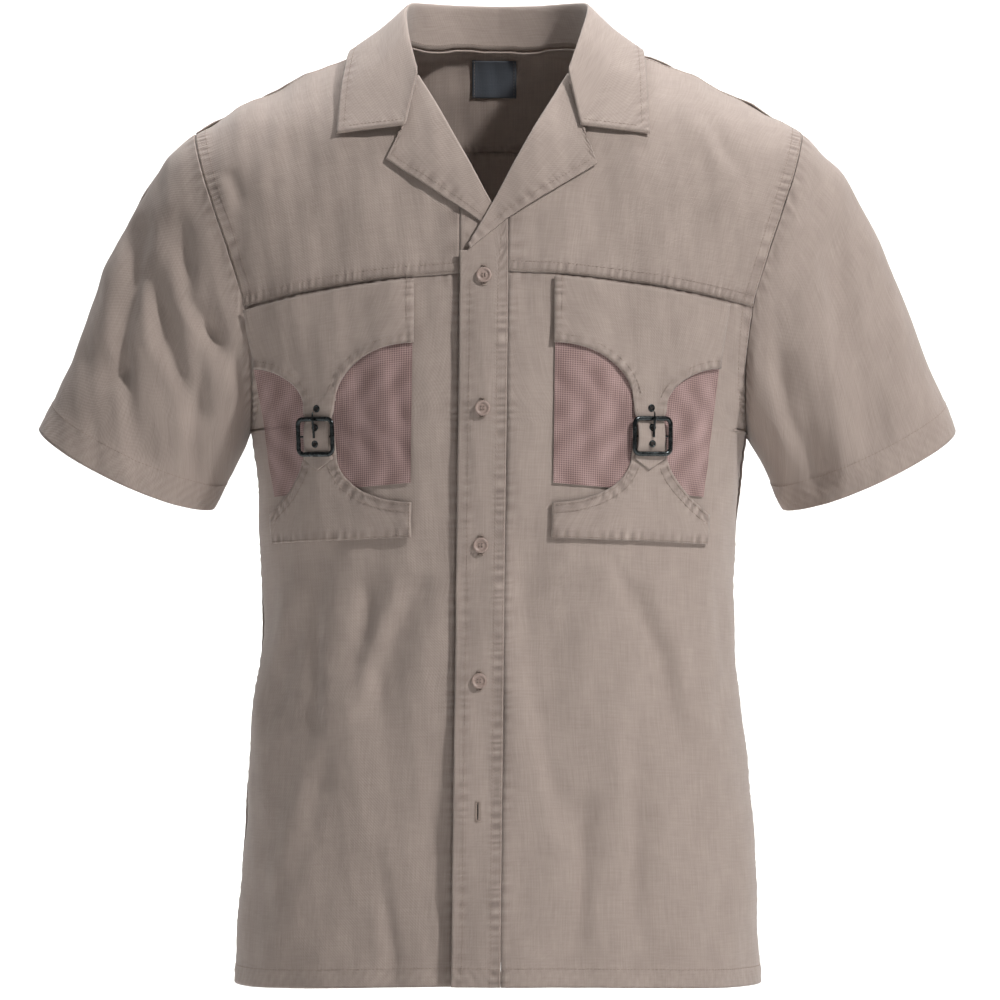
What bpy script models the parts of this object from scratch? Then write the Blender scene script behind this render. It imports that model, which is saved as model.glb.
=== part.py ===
"""Short sleeved utility shirt, in the hollow form that it has when it is worn.

Metres, +Z up, the front of the shirt faces -Y and +X is the wearer's left.
The origin lies between the two ends of the back neck, where the shoulders carry the cloth.
Every piece that is cut and sewn is a closed wall worked out from the sizes and tables below.
"""
import math

import bpy
import numpy as np

# Driving sizes
CLOTH = 0.0013
PLACKET_CLOTH = 0.0016
COLLAR_CLOTH = 0.0016
SEAM_GAP = 0.0003
HALF_GAP = SEAM_GAP / 2
HEM_HEIGHT = -0.7176
UNDERARM_HEIGHT = -0.2900
SHOULDER_HEIGHT = -0.0580
ARMHOLE_FRONT = 0.0780
ARMHOLE_BACK = 0.0820
SHOULDER_DROOP = 1.75
ROW_DROOP = 2.0
FRONT = -1
BACK = 1
LEFT = 1
RIGHT = -1

# Lower body, hem to underarm: half width, rise of the front centre, depth of front and back
BODY_COLUMNS = ("height", "half_width", "front_rise", "front_depth", "back_depth")
BODY = (
    (-0.7176, 0.2045, 0.0120, 0.1400, 0.1200),
    (-0.6550, 0.2015, 0.0080, 0.1370, 0.1170),
    (-0.5770, 0.1962, 0.0060, 0.1320, 0.1130),
    (-0.5300, 0.1930, 0.0055, 0.1300, 0.1120),
    (-0.4990, 0.1895, 0.0050, 0.1290, 0.1120),
    (-0.4680, 0.1855, 0.0050, 0.1285, 0.1130),
    (-0.4210, 0.1842, 0.0050, 0.1285, 0.1150),
    (-0.3800, 0.1858, 0.0050, 0.1300, 0.1180),
    (-0.3300, 0.1885, 0.0050, 0.1320, 0.1220),
    (-0.2900, 0.1935, 0.0050, 0.1320, 0.1250),
)

# Upper body from the underarm (0) to the shoulder seam (1), along the armhole
CHEST_COLUMNS = ("share", "height", "depth", "turn", "half_width")
CHEST_FRONT = (
    (0.00, -0.2850, 0.1320, 90.0, 0.1935),
    (0.10, -0.2720, 0.1320, 79.5, 0.1915),
    (0.20, -0.2520, 0.1310, 69.5, 0.1895),
    (0.30, -0.2220, 0.1290, 61.0, 0.1890),
    (0.44, -0.1720, 0.1240, 53.0, 0.1935),
    (0.55, -0.1350, 0.1160, 49.0, 0.2050),
    (0.65, -0.1000, 0.1070, 46.0, 0.2170),
    (0.75, -0.0660, 0.0940, 43.0, 0.2270),
    (0.85, -0.0340, 0.0740, 40.0, 0.2330),
    (0.93, -0.0060, 0.0450, 38.0, 0.2355),
    (1.00, 0.0260, 0.0000, 36.0, 0.2360),
)
CHEST_BACK = (
    (0.00, -0.2850, 0.1250, 90.0, 0.1935),
    (0.10, -0.2720, 0.1260, 79.5, 0.1915),
    (0.20, -0.2520, 0.1270, 69.5, 0.1900),
    (0.30, -0.2220, 0.1280, 61.0, 0.1905),
    (0.40, -0.1880, 0.1280, 56.0, 0.1940),
    (0.50, -0.1500, 0.1260, 52.0, 0.2010),
    (0.60, -0.1120, 0.1210, 49.0, 0.2110),
    (0.70, -0.0750, 0.1120, 46.0, 0.2210),
    (0.80, -0.0430, 0.1020, 43.0, 0.2290),
    (0.88, -0.0180, 0.0920, 40.0, 0.2335),
    (0.95, 0.0140, 0.0780, 38.0, 0.2355),
    (1.00, 0.0260, 0.0000, 36.0, 0.2360),
)
FRONT_YOKE_SHARE = 0.4375
BACK_YOKE_SHARE = 0.7300

# Closure: line of the buttons, half widths of the plackets and how far the two fronts part
CLOSURE_COLUMNS = ("height", "middle", "over_lift", "under_sink")
CLOSURE = (
    (-0.7176, -0.0168, 0.0060, 0.0060),
    (-0.5755, -0.0153, 0.0036, 0.0034),
    (-0.3768, -0.0131, 0.0024, 0.0020),
    (-0.1757, -0.0108, 0.0030, 0.0024),
    (-0.1100, -0.0106, 0.0030, 0.0024),
    (-0.0500, -0.0105, 0.0016, 0.0010),
)
PLACKET_HALF = 0.0182
LIFT_REACH = 0.085

# Folds of the body cloth, in the front or back view: both ends, depth (minus is a trough), width
FOLD_COLUMNS = ("face", "from_x", "from_z", "to_x", "to_z", "depth", "width")
BODY_FOLDS = (
    (FRONT, -0.100, -0.412, -0.108, -0.465, -0.0030, 0.012),
    (FRONT, -0.062, -0.412, -0.094, -0.500, -0.0035, 0.012),
    (FRONT, -0.140, -0.390, -0.141, -0.555, -0.0030, 0.014),
    (FRONT, -0.088, -0.630, -0.084, -0.700, -0.0030, 0.012),
    (FRONT, -0.122, -0.500, -0.165, -0.690, 0.0040, 0.022),
    (FRONT, 0.018, -0.376, 0.052, -0.590, -0.0050, 0.020),
    (FRONT, 0.064, -0.575, 0.060, -0.695, -0.0040, 0.012),
    (FRONT, 0.104, -0.420, 0.136, -0.518, -0.0040, 0.013),
    (FRONT, 0.118, -0.410, 0.152, -0.520, 0.0035, 0.014),
    (FRONT, 0.106, -0.515, 0.106, -0.695, -0.0030, 0.015),
    (BACK, -0.120, -0.240, -0.060, -0.460, -0.0050, 0.022),
    (BACK, 0.115, -0.250, 0.070, -0.480, -0.0050, 0.024),
    (BACK, -0.020, -0.400, -0.050, -0.690, -0.0050, 0.024),
    (BACK, 0.055, -0.480, 0.075, -0.700, 0.0050, 0.026),
    (BACK, -0.120, -0.520, -0.135, -0.705, 0.0045, 0.022),
)

# Sleeve: line of the cuff and its round shape
SLEEVE_TILT = math.radians(25.3)
CUFF_CENTRE_X = 0.2894
CUFF_CENTRE_Z = -0.3180
CUFF_HALF_WIDTH = 0.0735
CUFF_HALF_DEPTH = 0.0560
CUFF_FRONT_DROP = 0.0120
CUFF_BACK_RISE = 0.0040
CAP_LEAN = 0.80
SLEEVE_START = 0.0004
LEAVE_PULL = 0.75
ARRIVE_PULL = 0.90
SLEEVE_RINGS = 11
SLEEVE_FOLD_COLUMNS = ("hand", "from_x", "from_z", "to_x", "to_z", "depth", "width")
SLEEVE_FOLDS = (
    (RIGHT, -0.280, -0.136, -0.292, -0.245, -0.0050, 0.012),
    (RIGHT, -0.292, -0.245, -0.276, -0.308, -0.0050, 0.013),
    (RIGHT, -0.269, -0.172, -0.233, -0.274, -0.0045, 0.012),
    (RIGHT, -0.246, -0.136, -0.220, -0.218, -0.0050, 0.012),
    (RIGHT, -0.220, -0.218, -0.196, -0.246, -0.0040, 0.012),
    (LEFT, 0.218, -0.240, 0.244, -0.325, -0.0050, 0.013),
    (LEFT, 0.262, -0.150, 0.285, -0.290, -0.0035, 0.016),
)

# Neck: the seam line, seen from above, and the roll line of the lapels in the front view
NECK_HALF = 0.0750
NECK_BACK = 0.0750
NECK_RUN = 0.0545
ROLL_COLUMNS = ("hand", "top_x", "top_z", "break_x", "break_z")
ROLL = (
    (LEFT, 0.0548, -0.0190, -0.0229, -0.1566),
    (RIGHT, -0.0630, -0.0200, 0.0074, -0.1441),
)
LAPEL_COLUMNS = ("hand", "gorge_x", "gorge_z", "tip_x", "tip_z", "low_x", "low_z")
LAPELS = (
    (LEFT, 0.0632, -0.0625, 0.0743, -0.0905, 0.0060, -0.1330),
    (RIGHT, -0.0705, -0.0570, -0.0843, -0.0865, -0.0130, -0.1340),
)
LAPEL_FOLD = 0.0027
LAPEL_LIE = 0.0026
LAPEL_START_FOLD = 0.0017

# Collar, half of it, from the middle of the back to the front end: roll, leaf and edge
COLLAR_COLUMNS = ("roll_x", "roll_y", "roll_z", "leaf_x", "leaf_y", "leaf_z", "edge_x", "edge_y", "edge_z")
COLLAR = (
    (0.0000, 0.0800, 0.0575, 0.0000, 0.1010, 0.0230, 0.0000, 0.1100, -0.0090),
    (0.0310, 0.0735, 0.0575, 0.0420, 0.0950, 0.0220, 0.0490, 0.1040, -0.0090),
    (0.0535, 0.0540, 0.0560, 0.0720, 0.0690, 0.0270, 0.0900, 0.0790, 0.0010),
    (0.0655, 0.0280, 0.0525, 0.0880, 0.0340, 0.0275, 0.1080, 0.0400, 0.0080),
    (0.0685, 0.0000, 0.0430, 0.0915, 0.0000, 0.0240, 0.1135, -0.0010, 0.0080),
    (0.0650, -0.0340, 0.0230, 0.0890, -0.0500, -0.0060, 0.1170, -0.0480, -0.0190),
    (0.0570, -0.0700, -0.0110, 0.0668, -0.0950, -0.0590, 0.1190, -0.0860, -0.0645),
)
COLLAR_END = 6.0
COLLAR_SHOULDER = 4.0
COLLAR_FRONT_REACH = 0.97
COLLAR_COLUMN_COUNT = 33
COLLAR_LEAN = -0.0040
COLLAR_RISE = 0.0020
COLLAR_END_RISE = 0.0054

# Pocket pieces: distance from the closure along the cloth, and height
POCKET_IN = 0.0525
FLAP_OUT_TOP = 0.1920
FLAP_OUT_LOW = 0.1890
FLAP_IN_LOW_Z = -0.2258
FLAP_OUT_LOW_Z = -0.2435
STRAP_MIDDLE = 0.1285
STRAP_HALF = 0.0138
STRAP_TOP_Z = -0.2730
STRAP_TIP_Z = -0.3205
STRAP_SHOULDER_Z = -0.3125
BASE_IN_TOP_Z = -0.3447
BASE_IN_LOW_Z = -0.3711
BASE_OUT_TOP = 0.1880
BASE_OUT_TOP_Z = -0.3546
BASE_OUT_LOW = 0.1850
BASE_OUT_LOW_Z = -0.3768
TONGUE_HALF = 0.0150
TONGUE_FOOT_Z = -0.3100
TONGUE_TOP_Z = -0.2880
MESH_IN = 0.0535
MESH_OUT_TOP = 0.1880
MESH_OUT_LOW = 0.1820
MESH_TOP_Z = -0.2060
MESH_IN_LOW_Z = -0.3302
MESH_OUT_LOW_Z = -0.3409
MESH_OUTER = 0.0015
MESH_CLOTH = 0.0010
PATCH_OUTER = 0.0032
PATCH_CLOTH = 0.0012

# Strap: how far its outer face stands from the front as it passes under and over the buckle's bars
STRAP_COLUMNS = ("height", "outer", "half")
STRAP = (
    (-0.3230, 0.0047, 0.0125),
    (-0.3125, 0.0047, 0.0128),
    (-0.3085, 0.0047, 0.0118),
    (-0.3000, 0.0068, 0.0112),
    (-0.2951, 0.0073, 0.0112),
    (-0.2900, 0.0068, 0.0112),
    (-0.2815, 0.0047, 0.0118),
    (-0.2760, 0.0044, 0.0134),
    (-0.2660, 0.0032, 0.0138),
)

# Buckle: a frame with a middle bar, and its prong
BUCKLE_MIDDLE = 0.1290
BUCKLE_Z = -0.2951
BUCKLE_HALF_WIDTH = 0.0155
BUCKLE_HALF_HEIGHT = 0.0133
BUCKLE_CORNER = 0.0045
BUCKLE_BAR = 0.0015
BUCKLE_STAND = 0.0068
MIDDLE_BAR = 0.0008
MIDDLE_BAR_STAND = 0.0042
PRONG_BAR = 0.0008
PRONG_COLUMNS = ("up", "stand")
PRONG = (
    (-0.0010, 0.0086),
    (0.0040, 0.0087),
    (0.0090, 0.0093),
    (0.0133, 0.0097),
    (0.0165, 0.0096),
    (0.0185, 0.0090),
)

# Buttons and label
BUTTON_HEIGHTS = (-0.1757, -0.2746, -0.3768, -0.4782)
UNDER_BUTTON_HEIGHT = -0.5755
BUTTON_PROFILE = ((0.0000, 0.0000), (0.0046, 0.0000), (0.0058, 0.0008), (0.0058, 0.0017),
                  (0.0050, 0.0023), (0.0040, 0.0018), (0.0000, 0.0017))
BUTTON_SIDES = 12
LABEL_MIDDLE = -0.0035
LABEL_HALF = 0.0178
LABEL_TOP_Z = 0.0095
LABEL_LOW_Z = -0.0195
LABEL_CLOTH = 0.0007


def wipe_scene():
    """Take every object out of the scene."""
    for item in list(bpy.data.objects):
        bpy.data.objects.remove(item, do_unlink=True)


def column(table, names, name):
    """One named column of a table as an array."""
    place = names.index(name)
    return np.array([row[place] for row in table])


def through(places, values, at):
    """Smooth curve through the values: cubic pieces whose slope is the harmonic mean of the rises."""
    places = np.asarray(places, dtype=float)
    values = np.asarray(values, dtype=float)
    at = np.clip(at, places[0], places[-1])
    step = np.diff(places)
    rise = np.diff(values) / step
    before = rise[:-1]
    after = rise[1:]
    same_way = before * after > 0
    total = np.where(same_way, before + after, 1.0)
    slope = np.concatenate(([rise[0]], np.where(same_way, 2 * before * after / total, 0.0), [rise[-1]]))
    left = np.clip(np.searchsorted(places, at, side="right") - 1, 0, len(step) - 1)
    u = (at - places[left]) / step[left]
    start = values[left] * (1 + 2 * u) * (1 - u) ** 2 + values[left + 1] * u * u * (3 - 2 * u)
    bend = slope[left] * u * (1 - u) ** 2 - slope[left + 1] * u * u * (1 - u)
    return start + bend * step[left]


def read(table, names, name, at):
    """The named column of a table at any place along its first column."""
    return through(column(table, names, names[0]), column(table, names, name), at)


def ease(value, low, high):
    """Zero below low, one above high, and a smooth step between."""
    share = np.clip((value - low) / (high - low), 0.0, 1.0)
    return share * share * (3 - 2 * share)


def row_shape(face, row):
    """Numbers of one level row of the body: 0 is the hem, 1 the underarm, 2 the shoulder seam."""
    low = np.clip(row, 0.0, 1.0)
    share = np.clip(row - 1.0, 0.0, 1.0)
    upper = row > 1.0
    table = CHEST_FRONT if face == FRONT else CHEST_BACK
    reach = ARMHOLE_FRONT if face == FRONT else ARMHOLE_BACK
    low_z = HEM_HEIGHT + low * (UNDERARM_HEIGHT - HEM_HEIGHT)
    rise = read(BODY, BODY_COLUMNS, "front_rise", low_z) if face == FRONT else 0.0050 * low
    depth_name = "front_depth" if face == FRONT else "back_depth"
    middle = (UNDERARM_HEIGHT + SHOULDER_HEIGHT) / 2
    half = (SHOULDER_HEIGHT - UNDERARM_HEIGHT) / 2
    side_x = np.where(upper, read(table, CHEST_COLUMNS, "half_width", share),
                      read(BODY, BODY_COLUMNS, "half_width", low_z))
    side_z = np.where(upper, middle - half * np.cos(np.pi * share), low_z)
    side_y = np.where(upper, face * reach * np.sin(np.pi * share), 0.0)
    centre_z = np.where(upper, read(table, CHEST_COLUMNS, "height", share), low_z + rise)
    centre_y = face * np.where(upper, read(table, CHEST_COLUMNS, "depth", share),
                               read(BODY, BODY_COLUMNS, depth_name, low_z))
    turn = np.radians(np.where(upper, read(table, CHEST_COLUMNS, "turn", share), 90.0))
    droop = ROW_DROOP + (SHOULDER_DROOP - ROW_DROOP) * share
    return side_x, side_y, side_z, centre_y, centre_z, turn, droop


def bare(face, x, row):
    """Body surface at a sideways place x on a row: part of an ellipse from the middle to the side."""
    side_x, side_y, side_z, centre_y, centre_z, turn, droop = row_shape(face, row)
    share = np.clip(np.abs(x) / side_x, 0.0, 1.0)
    angle = np.arcsin(share * np.sin(turn))
    fall = (np.cos(angle) - np.cos(turn)) / (1 - np.cos(turn))
    y = side_y + (centre_y - side_y) * fall
    z = centre_z + (side_z - centre_z) * share ** droop
    return np.stack(np.broadcast_arrays(x, y, z), axis=-1)


def sideways(face, across, row):
    """Sideways place x for a share across the row, -1 to 1, in equal steps of turn."""
    side_x, _, _, _, _, turn, _ = row_shape(face, row)
    return side_x * np.sin(across * turn) / np.sin(turn)


def across_share(face, x, row):
    """Share across the row, -1 to 1, of a sideways place x."""
    side_x, _, _, _, _, turn, _ = row_shape(face, row)
    return np.arcsin(np.clip(x / side_x * np.sin(turn), -1.0, 1.0)) / turn


def body(face, across, row):
    """Body surface at a share across a row."""
    return bare(face, sideways(face, across, row), row)


def body_normal(face, across, row):
    """Outward direction of the body surface, from small steps along both ways."""
    step = 0.004
    low = np.clip(row - step, 0.0, 2.0)
    high = np.clip(row + step, 0.0, 2.0)
    along = body(face, across + step, row) - body(face, across - step, row)
    up = body(face, across, high) - body(face, across, low)
    normal = np.cross(along, up) * -face
    return normal / np.linalg.norm(normal, axis=-1, keepdims=True)


def row_at(face, x, z):
    """Row on which the body surface has height z at the sideways place x, by halving."""
    x, z = np.broadcast_arrays(np.asarray(x, dtype=float), np.asarray(z, dtype=float))
    low = np.zeros(x.shape)
    high = np.full(x.shape, 2.0)
    for _ in range(40):
        middle = (low + high) / 2
        below = bare(face, x, middle)[..., 2] < z
        low = np.where(below, middle, low)
        high = np.where(below, high, middle)
    return (low + high) / 2


def distance_to_line(x, z, x0, z0, x1, z1):
    """Distance in the view from a point to a straight stretch."""
    length = (x1 - x0) ** 2 + (z1 - z0) ** 2
    share = np.clip(((x - x0) * (x1 - x0) + (z - z0) * (z1 - z0)) / length, 0.0, 1.0)
    return np.hypot(x - x0 - share * (x1 - x0), z - z0 - share * (z1 - z0))


def fold_shift(table, key, x, z):
    """Sum of soft troughs and ridges, each a bell curve of the distance from its line."""
    shift = np.zeros(np.shape(x))
    for row in table:
        if row[0] != key:
            continue
        away = distance_to_line(x, z, row[1], row[2], row[3], row[4])
        shift = shift + row[5] * np.exp(-(away / row[6]) ** 2)
    return shift


def front_lift(hand, x, z):
    """The button side stands forward near the closure, and the other side sinks behind it."""
    middle = read(CLOSURE, CLOSURE_COLUMNS, "middle", z)
    away = hand * (x - middle) - PLACKET_HALF
    near = 1 - ease(away, 0.0, LIFT_REACH)
    over = read(CLOSURE, CLOSURE_COLUMNS, "over_lift", z)
    under = -read(CLOSURE, CLOSURE_COLUMNS, "under_sink", z)
    return near * (over if hand == LEFT else under)


def cloth_point(face, across, row, out, hand=0):
    """Point on the folded cloth, moved out from its surface."""
    point = body(face, across, row)
    shift = out + fold_shift(BODY_FOLDS, face, point[..., 0], point[..., 2])
    if hand != 0:
        shift = shift + front_lift(hand, point[..., 0], point[..., 2])
    return point + body_normal(face, across, row) * np.asarray(shift)[..., None]


def lay(hand, x, z, out):
    """Point of the front cloth seen at x, z in the front view, moved out."""
    row = row_at(FRONT, x, z)
    return cloth_point(FRONT, across_share(FRONT, x, row), row, out, hand)


def lay_back(x, z, out):
    """Point of the back cloth seen at x, z, moved out."""
    row = row_at(BACK, x, z)
    return cloth_point(BACK, across_share(BACK, x, row), row, out)


def finish(name, points, faces, material):
    """Object with the given points and faces, turned so that its faces point out."""
    points = np.asarray(points, dtype=float)
    volume = 0.0
    for face in faces:
        for corner in range(1, len(face) - 1):
            a, b, c = points[face[0]], points[face[corner]], points[face[corner + 1]]
            volume += float(np.dot(a, np.cross(b, c)))
    if volume < 0:
        faces = [face[::-1] for face in faces]
    mesh = bpy.data.meshes.new(name)
    mesh.from_pydata(points.tolist(), [], faces)
    mesh.update()
    mesh.shade_smooth()
    item = bpy.data.objects.new(name, mesh)
    bpy.context.scene.collection.objects.link(item)
    mesh.materials.append(material)
    return item


def wall(name, outer, inner, material, ring=False, active=None):
    """Closed wall between two grids of points. A ring is joined round its second way, and where some
    cells are left out, the wall gets its rim round the others."""
    rows, places = outer.shape[:2]
    steps = places if ring else places - 1
    if active is None:
        active = np.ones((rows - 1, steps), dtype=bool)
    inner_start = rows * places
    faces = []
    for i in range(rows - 1):
        for j in range(steps):
            if not active[i, j]:
                continue
            a = i * places + j
            b = i * places + (j + 1) % places
            c = b + places
            d = a + places
            faces.append((a, b, c, d))
            faces.append((inner_start + d, inner_start + c, inner_start + b, inner_start + a))
            before = (j - 1) % steps if ring else j - 1
            after = (j + 1) % steps if ring else j + 1
            sides = ((i - 1, j, a, b), (i, after, b, c), (i + 1, j, c, d), (i, before, d, a))
            for other_row, other_place, start, end in sides:
                inside = 0 <= other_row < rows - 1 and 0 <= other_place < steps
                if inside and active[other_row, other_place]:
                    continue
                faces.append((end, start, inner_start + start, inner_start + end))
    points = np.concatenate((outer.reshape(-1, 3), inner.reshape(-1, 3)))
    used = sorted({corner for face in faces for corner in face})
    place_of = {old: new for new, old in enumerate(used)}
    faces = [tuple(place_of[corner] for corner in face) for face in faces]
    return finish(name, points[used], faces, material)


def fabric(name, colour, roughness, metallic=0.0):
    """Plain material of one colour."""
    material = bpy.data.materials.new(name)
    material.use_nodes = True
    shader = material.node_tree.nodes["Principled BSDF"]
    shader.inputs["Base Color"].default_value = (*colour, 1.0)
    shader.inputs["Roughness"].default_value = roughness
    shader.inputs["Metallic"].default_value = metallic
    return material


def closure(z):
    """Sideways place of the button line at a height."""
    return read(CLOSURE, CLOSURE_COLUMNS, "middle", z)


def body_wall(name, face, across, row, material, hand=0, out=0.0, thick=CLOTH):
    """Wall of body cloth on a grid of shares and rows."""
    outer = cloth_point(face, across, row, out, hand)
    inner = cloth_point(face, across, row, out - thick, hand)
    return wall(name, outer, inner, material)


def side_gap():
    """Share that is left free at a side seam for half of the seam's gap."""
    return HALF_GAP / 0.26


def hem_rows(count):
    """Rows from the hem to the underarm, in even steps."""
    return np.linspace(0.0, 1.0, count)


def build_front_panel(hand, material):
    """Front below the yoke seam, from the placket seam to the side seam and the armhole."""
    rows = np.concatenate((hem_rows(19), 1.0 + np.array([0.08, 0.16, 0.25, 0.34, FRONT_YOKE_SHARE - 0.001])))
    centre_z = row_shape(FRONT, rows)[4]
    seam_x = closure(centre_z) + hand * (PLACKET_HALF + HALF_GAP)
    start = across_share(FRONT, seam_x, rows)
    end = hand * (1 - side_gap())
    share = np.linspace(0.0, 1.0, 15)
    across = start[:, None] + (end - start[:, None]) * share[None, :]
    row = np.repeat(rows[:, None], len(share), axis=1)
    side = "left" if hand == LEFT else "right"
    body_wall("front_panel_" + side, FRONT, across, row, material, hand)


def build_back(yoke_material, panel_material):
    """Back panel below the back yoke seam, and the yoke up to the shoulder seams and the neck."""
    rows = np.concatenate((hem_rows(14), 1.0 + np.array([0.08, 0.16, 0.25, 0.34, 0.4375, 0.54, 0.64,
                                                        BACK_YOKE_SHARE - 0.001])))
    across = np.linspace(-1 + side_gap(), 1 - side_gap(), 27)
    grid_row, grid_across = np.meshgrid(rows, across, indexing="ij")
    body_wall("back_panel", BACK, grid_across, grid_row, panel_material)
    share = np.concatenate((np.linspace(-1, -0.42, 8)[:-1], np.linspace(-0.42, 0.42, 13),
                            np.linspace(0.42, 1, 8)[1:])) * (1 - side_gap())
    top = end_row(BACK, share, neck_round)
    start = 1.0 + BACK_YOKE_SHARE + 0.001
    steps = np.array([0.0, 0.22, 0.42, 0.60, 0.76, 0.88, 0.95, 1.0])
    grid_row = start + (top[None, :] - start) * steps[:, None]
    grid_across = np.repeat(share[None, :], len(steps), axis=0)
    body_wall("back_yoke", BACK, grid_across, grid_row, yoke_material)


def end_row(face, across, limit):
    """Row where a share across the yoke comes as near to the shoulder line as limit(x) says, so that the
    inner face, which leans over by the cloth's thickness, doesn't come nearer."""
    low = np.full(across.shape, 1.5)
    high = np.full(across.shape, 2.0)
    lean = CLOTH * np.abs(body_normal(face, across, high)[..., 1])
    for _ in range(40):
        middle = (low + high) / 2
        point = body(face, across, middle)
        outside = point[..., 1] * face > limit(point[..., 0]) + lean
        low = np.where(outside, middle, low)
        high = np.where(outside, high, middle)
    return (low + high) / 2


def depth_row(face, x, depth):
    """Row on which the upper body at the sideways place x stands depth from the shoulder line."""
    low = np.full(x.shape, 1.5)
    high = np.full(x.shape, 2.0)
    for _ in range(40):
        middle = (low + high) / 2
        outside = bare(face, x, middle)[..., 1] * face > depth
        low = np.where(outside, middle, low)
        high = np.where(outside, high, middle)
    return (low + high) / 2


def neck_round(x):
    """Depth of the back neck seam at a sideways place, never less than the shoulder seam's half gap."""
    depth = NECK_BACK * np.sqrt(np.clip(1 - (x / NECK_HALF) ** 2, 0.0, 1.0))
    return np.maximum(depth, HALF_GAP)


def neck_plan(hand, share):
    """Front neck seam from above: a quarter of an ellipse from the shoulder (0) to the roll line (1)."""
    top_x = roll_row(hand)[1]
    turn = share * np.pi / 2
    return top_x + (hand * NECK_HALF - top_x) * np.cos(turn), NECK_RUN * np.sin(turn) + HALF_GAP


def roll_row(hand):
    """The row of the roll table for one front."""
    return next(row for row in ROLL if row[0] == hand)


def roll_point(hand, share):
    """Roll line in the front view, from the break (0) to the neck (1)."""
    _, top_x, top_z, break_x, break_z = roll_row(hand)
    return break_x + share * (top_x - break_x), break_z + share * (top_z - break_z)


def build_front_yoke(hand, material):
    """Front above the yoke seam: inner edge on the placket seam, roll line and neck, outer on the armhole."""
    seam_z = row_shape(FRONT, np.array([1.0 + FRONT_YOKE_SHARE]))[4][0]
    seam_x = closure(seam_z) + hand * (PLACKET_HALF + HALF_GAP)
    _, top_x, top_z, break_x, break_z = roll_row(hand)
    meet_z = break_z + (seam_x - break_x) / (top_x - break_x) * (top_z - break_z)
    low_z = np.linspace(seam_z, meet_z, 4)[:-1]
    roll_z = np.linspace(meet_z, top_z, 6)[:-1]
    slope = (top_x - break_x) / (top_z - break_z)
    low_x = np.full(low_z.shape, seam_x) + hand * SEAM_GAP
    roll_x = break_x + (roll_z - break_z) * slope + hand * SEAM_GAP
    neck_x, neck_depth = neck_plan(hand, np.linspace(1.0, 0.0, 4))
    inner_x = np.concatenate((low_x, roll_x, neck_x))
    inner_row = np.concatenate((row_at(FRONT, low_x, low_z), row_at(FRONT, roll_x, roll_z),
                                depth_row(FRONT, neck_x, neck_depth)))
    inner_row[0] = 1.0 + FRONT_YOKE_SHARE + 0.001
    outer_row = 1.0 + np.concatenate((np.linspace(FRONT_YOKE_SHARE + 0.001, 0.60, 4)[:-1],
                                      np.linspace(0.60, 0.86, 6)[:-1], np.linspace(0.86, 1.0, 4)))
    start = across_share(FRONT, inner_x, inner_row)
    end = hand * (1 - side_gap())
    share = np.linspace(0.0, 1.0, 12)
    row = inner_row[:, None] + (outer_row - inner_row)[:, None] * share[None, :]
    across = start[:, None] + (end - start)[:, None] * share[None, :]
    row[-1] = end_row(FRONT, across[-1], lambda x: HALF_GAP + 0 * x)
    side = "left" if hand == LEFT else "right"
    body_wall("front_yoke_" + side, FRONT, across, row, material, hand)


def build_placket(hand, material):
    """Strip along the closure, from the hem to the roll line, whose top is cut along that line."""
    _, top_x, top_z, break_x, break_z = roll_row(hand)
    slope = (top_z - break_z) / (top_x - break_x)
    share = np.array([-1.0, -0.68, -0.10, 0.45, 1.0])
    base_z = np.linspace(row_shape(FRONT, np.array([0.0]))[4][0], -0.19, 22)
    middle = closure(base_z)
    half = PLACKET_HALF - HALF_GAP
    x = middle[:, None] + half * share[None, :]
    z = np.repeat(base_z[:, None], len(share), axis=1)
    top_x_line = closure(-0.15) + half * share
    away = np.clip(hand * (top_x_line - break_x), 0.0, None)
    top_z_line = break_z + away * hand * slope - 0.0006
    for step in (0.34, 0.67, 1.0):
        x = np.concatenate((x, top_x_line[None, :]))
        z = np.concatenate((z, (-0.19 + (top_z_line + 0.19) * step)[None, :]))
    outer = lay(hand, x, z, 0.0)
    inner = lay(hand, x, z, -PLACKET_CLOTH)
    wall("placket_left" if hand == LEFT else "placket_right", outer, inner, material)


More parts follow.
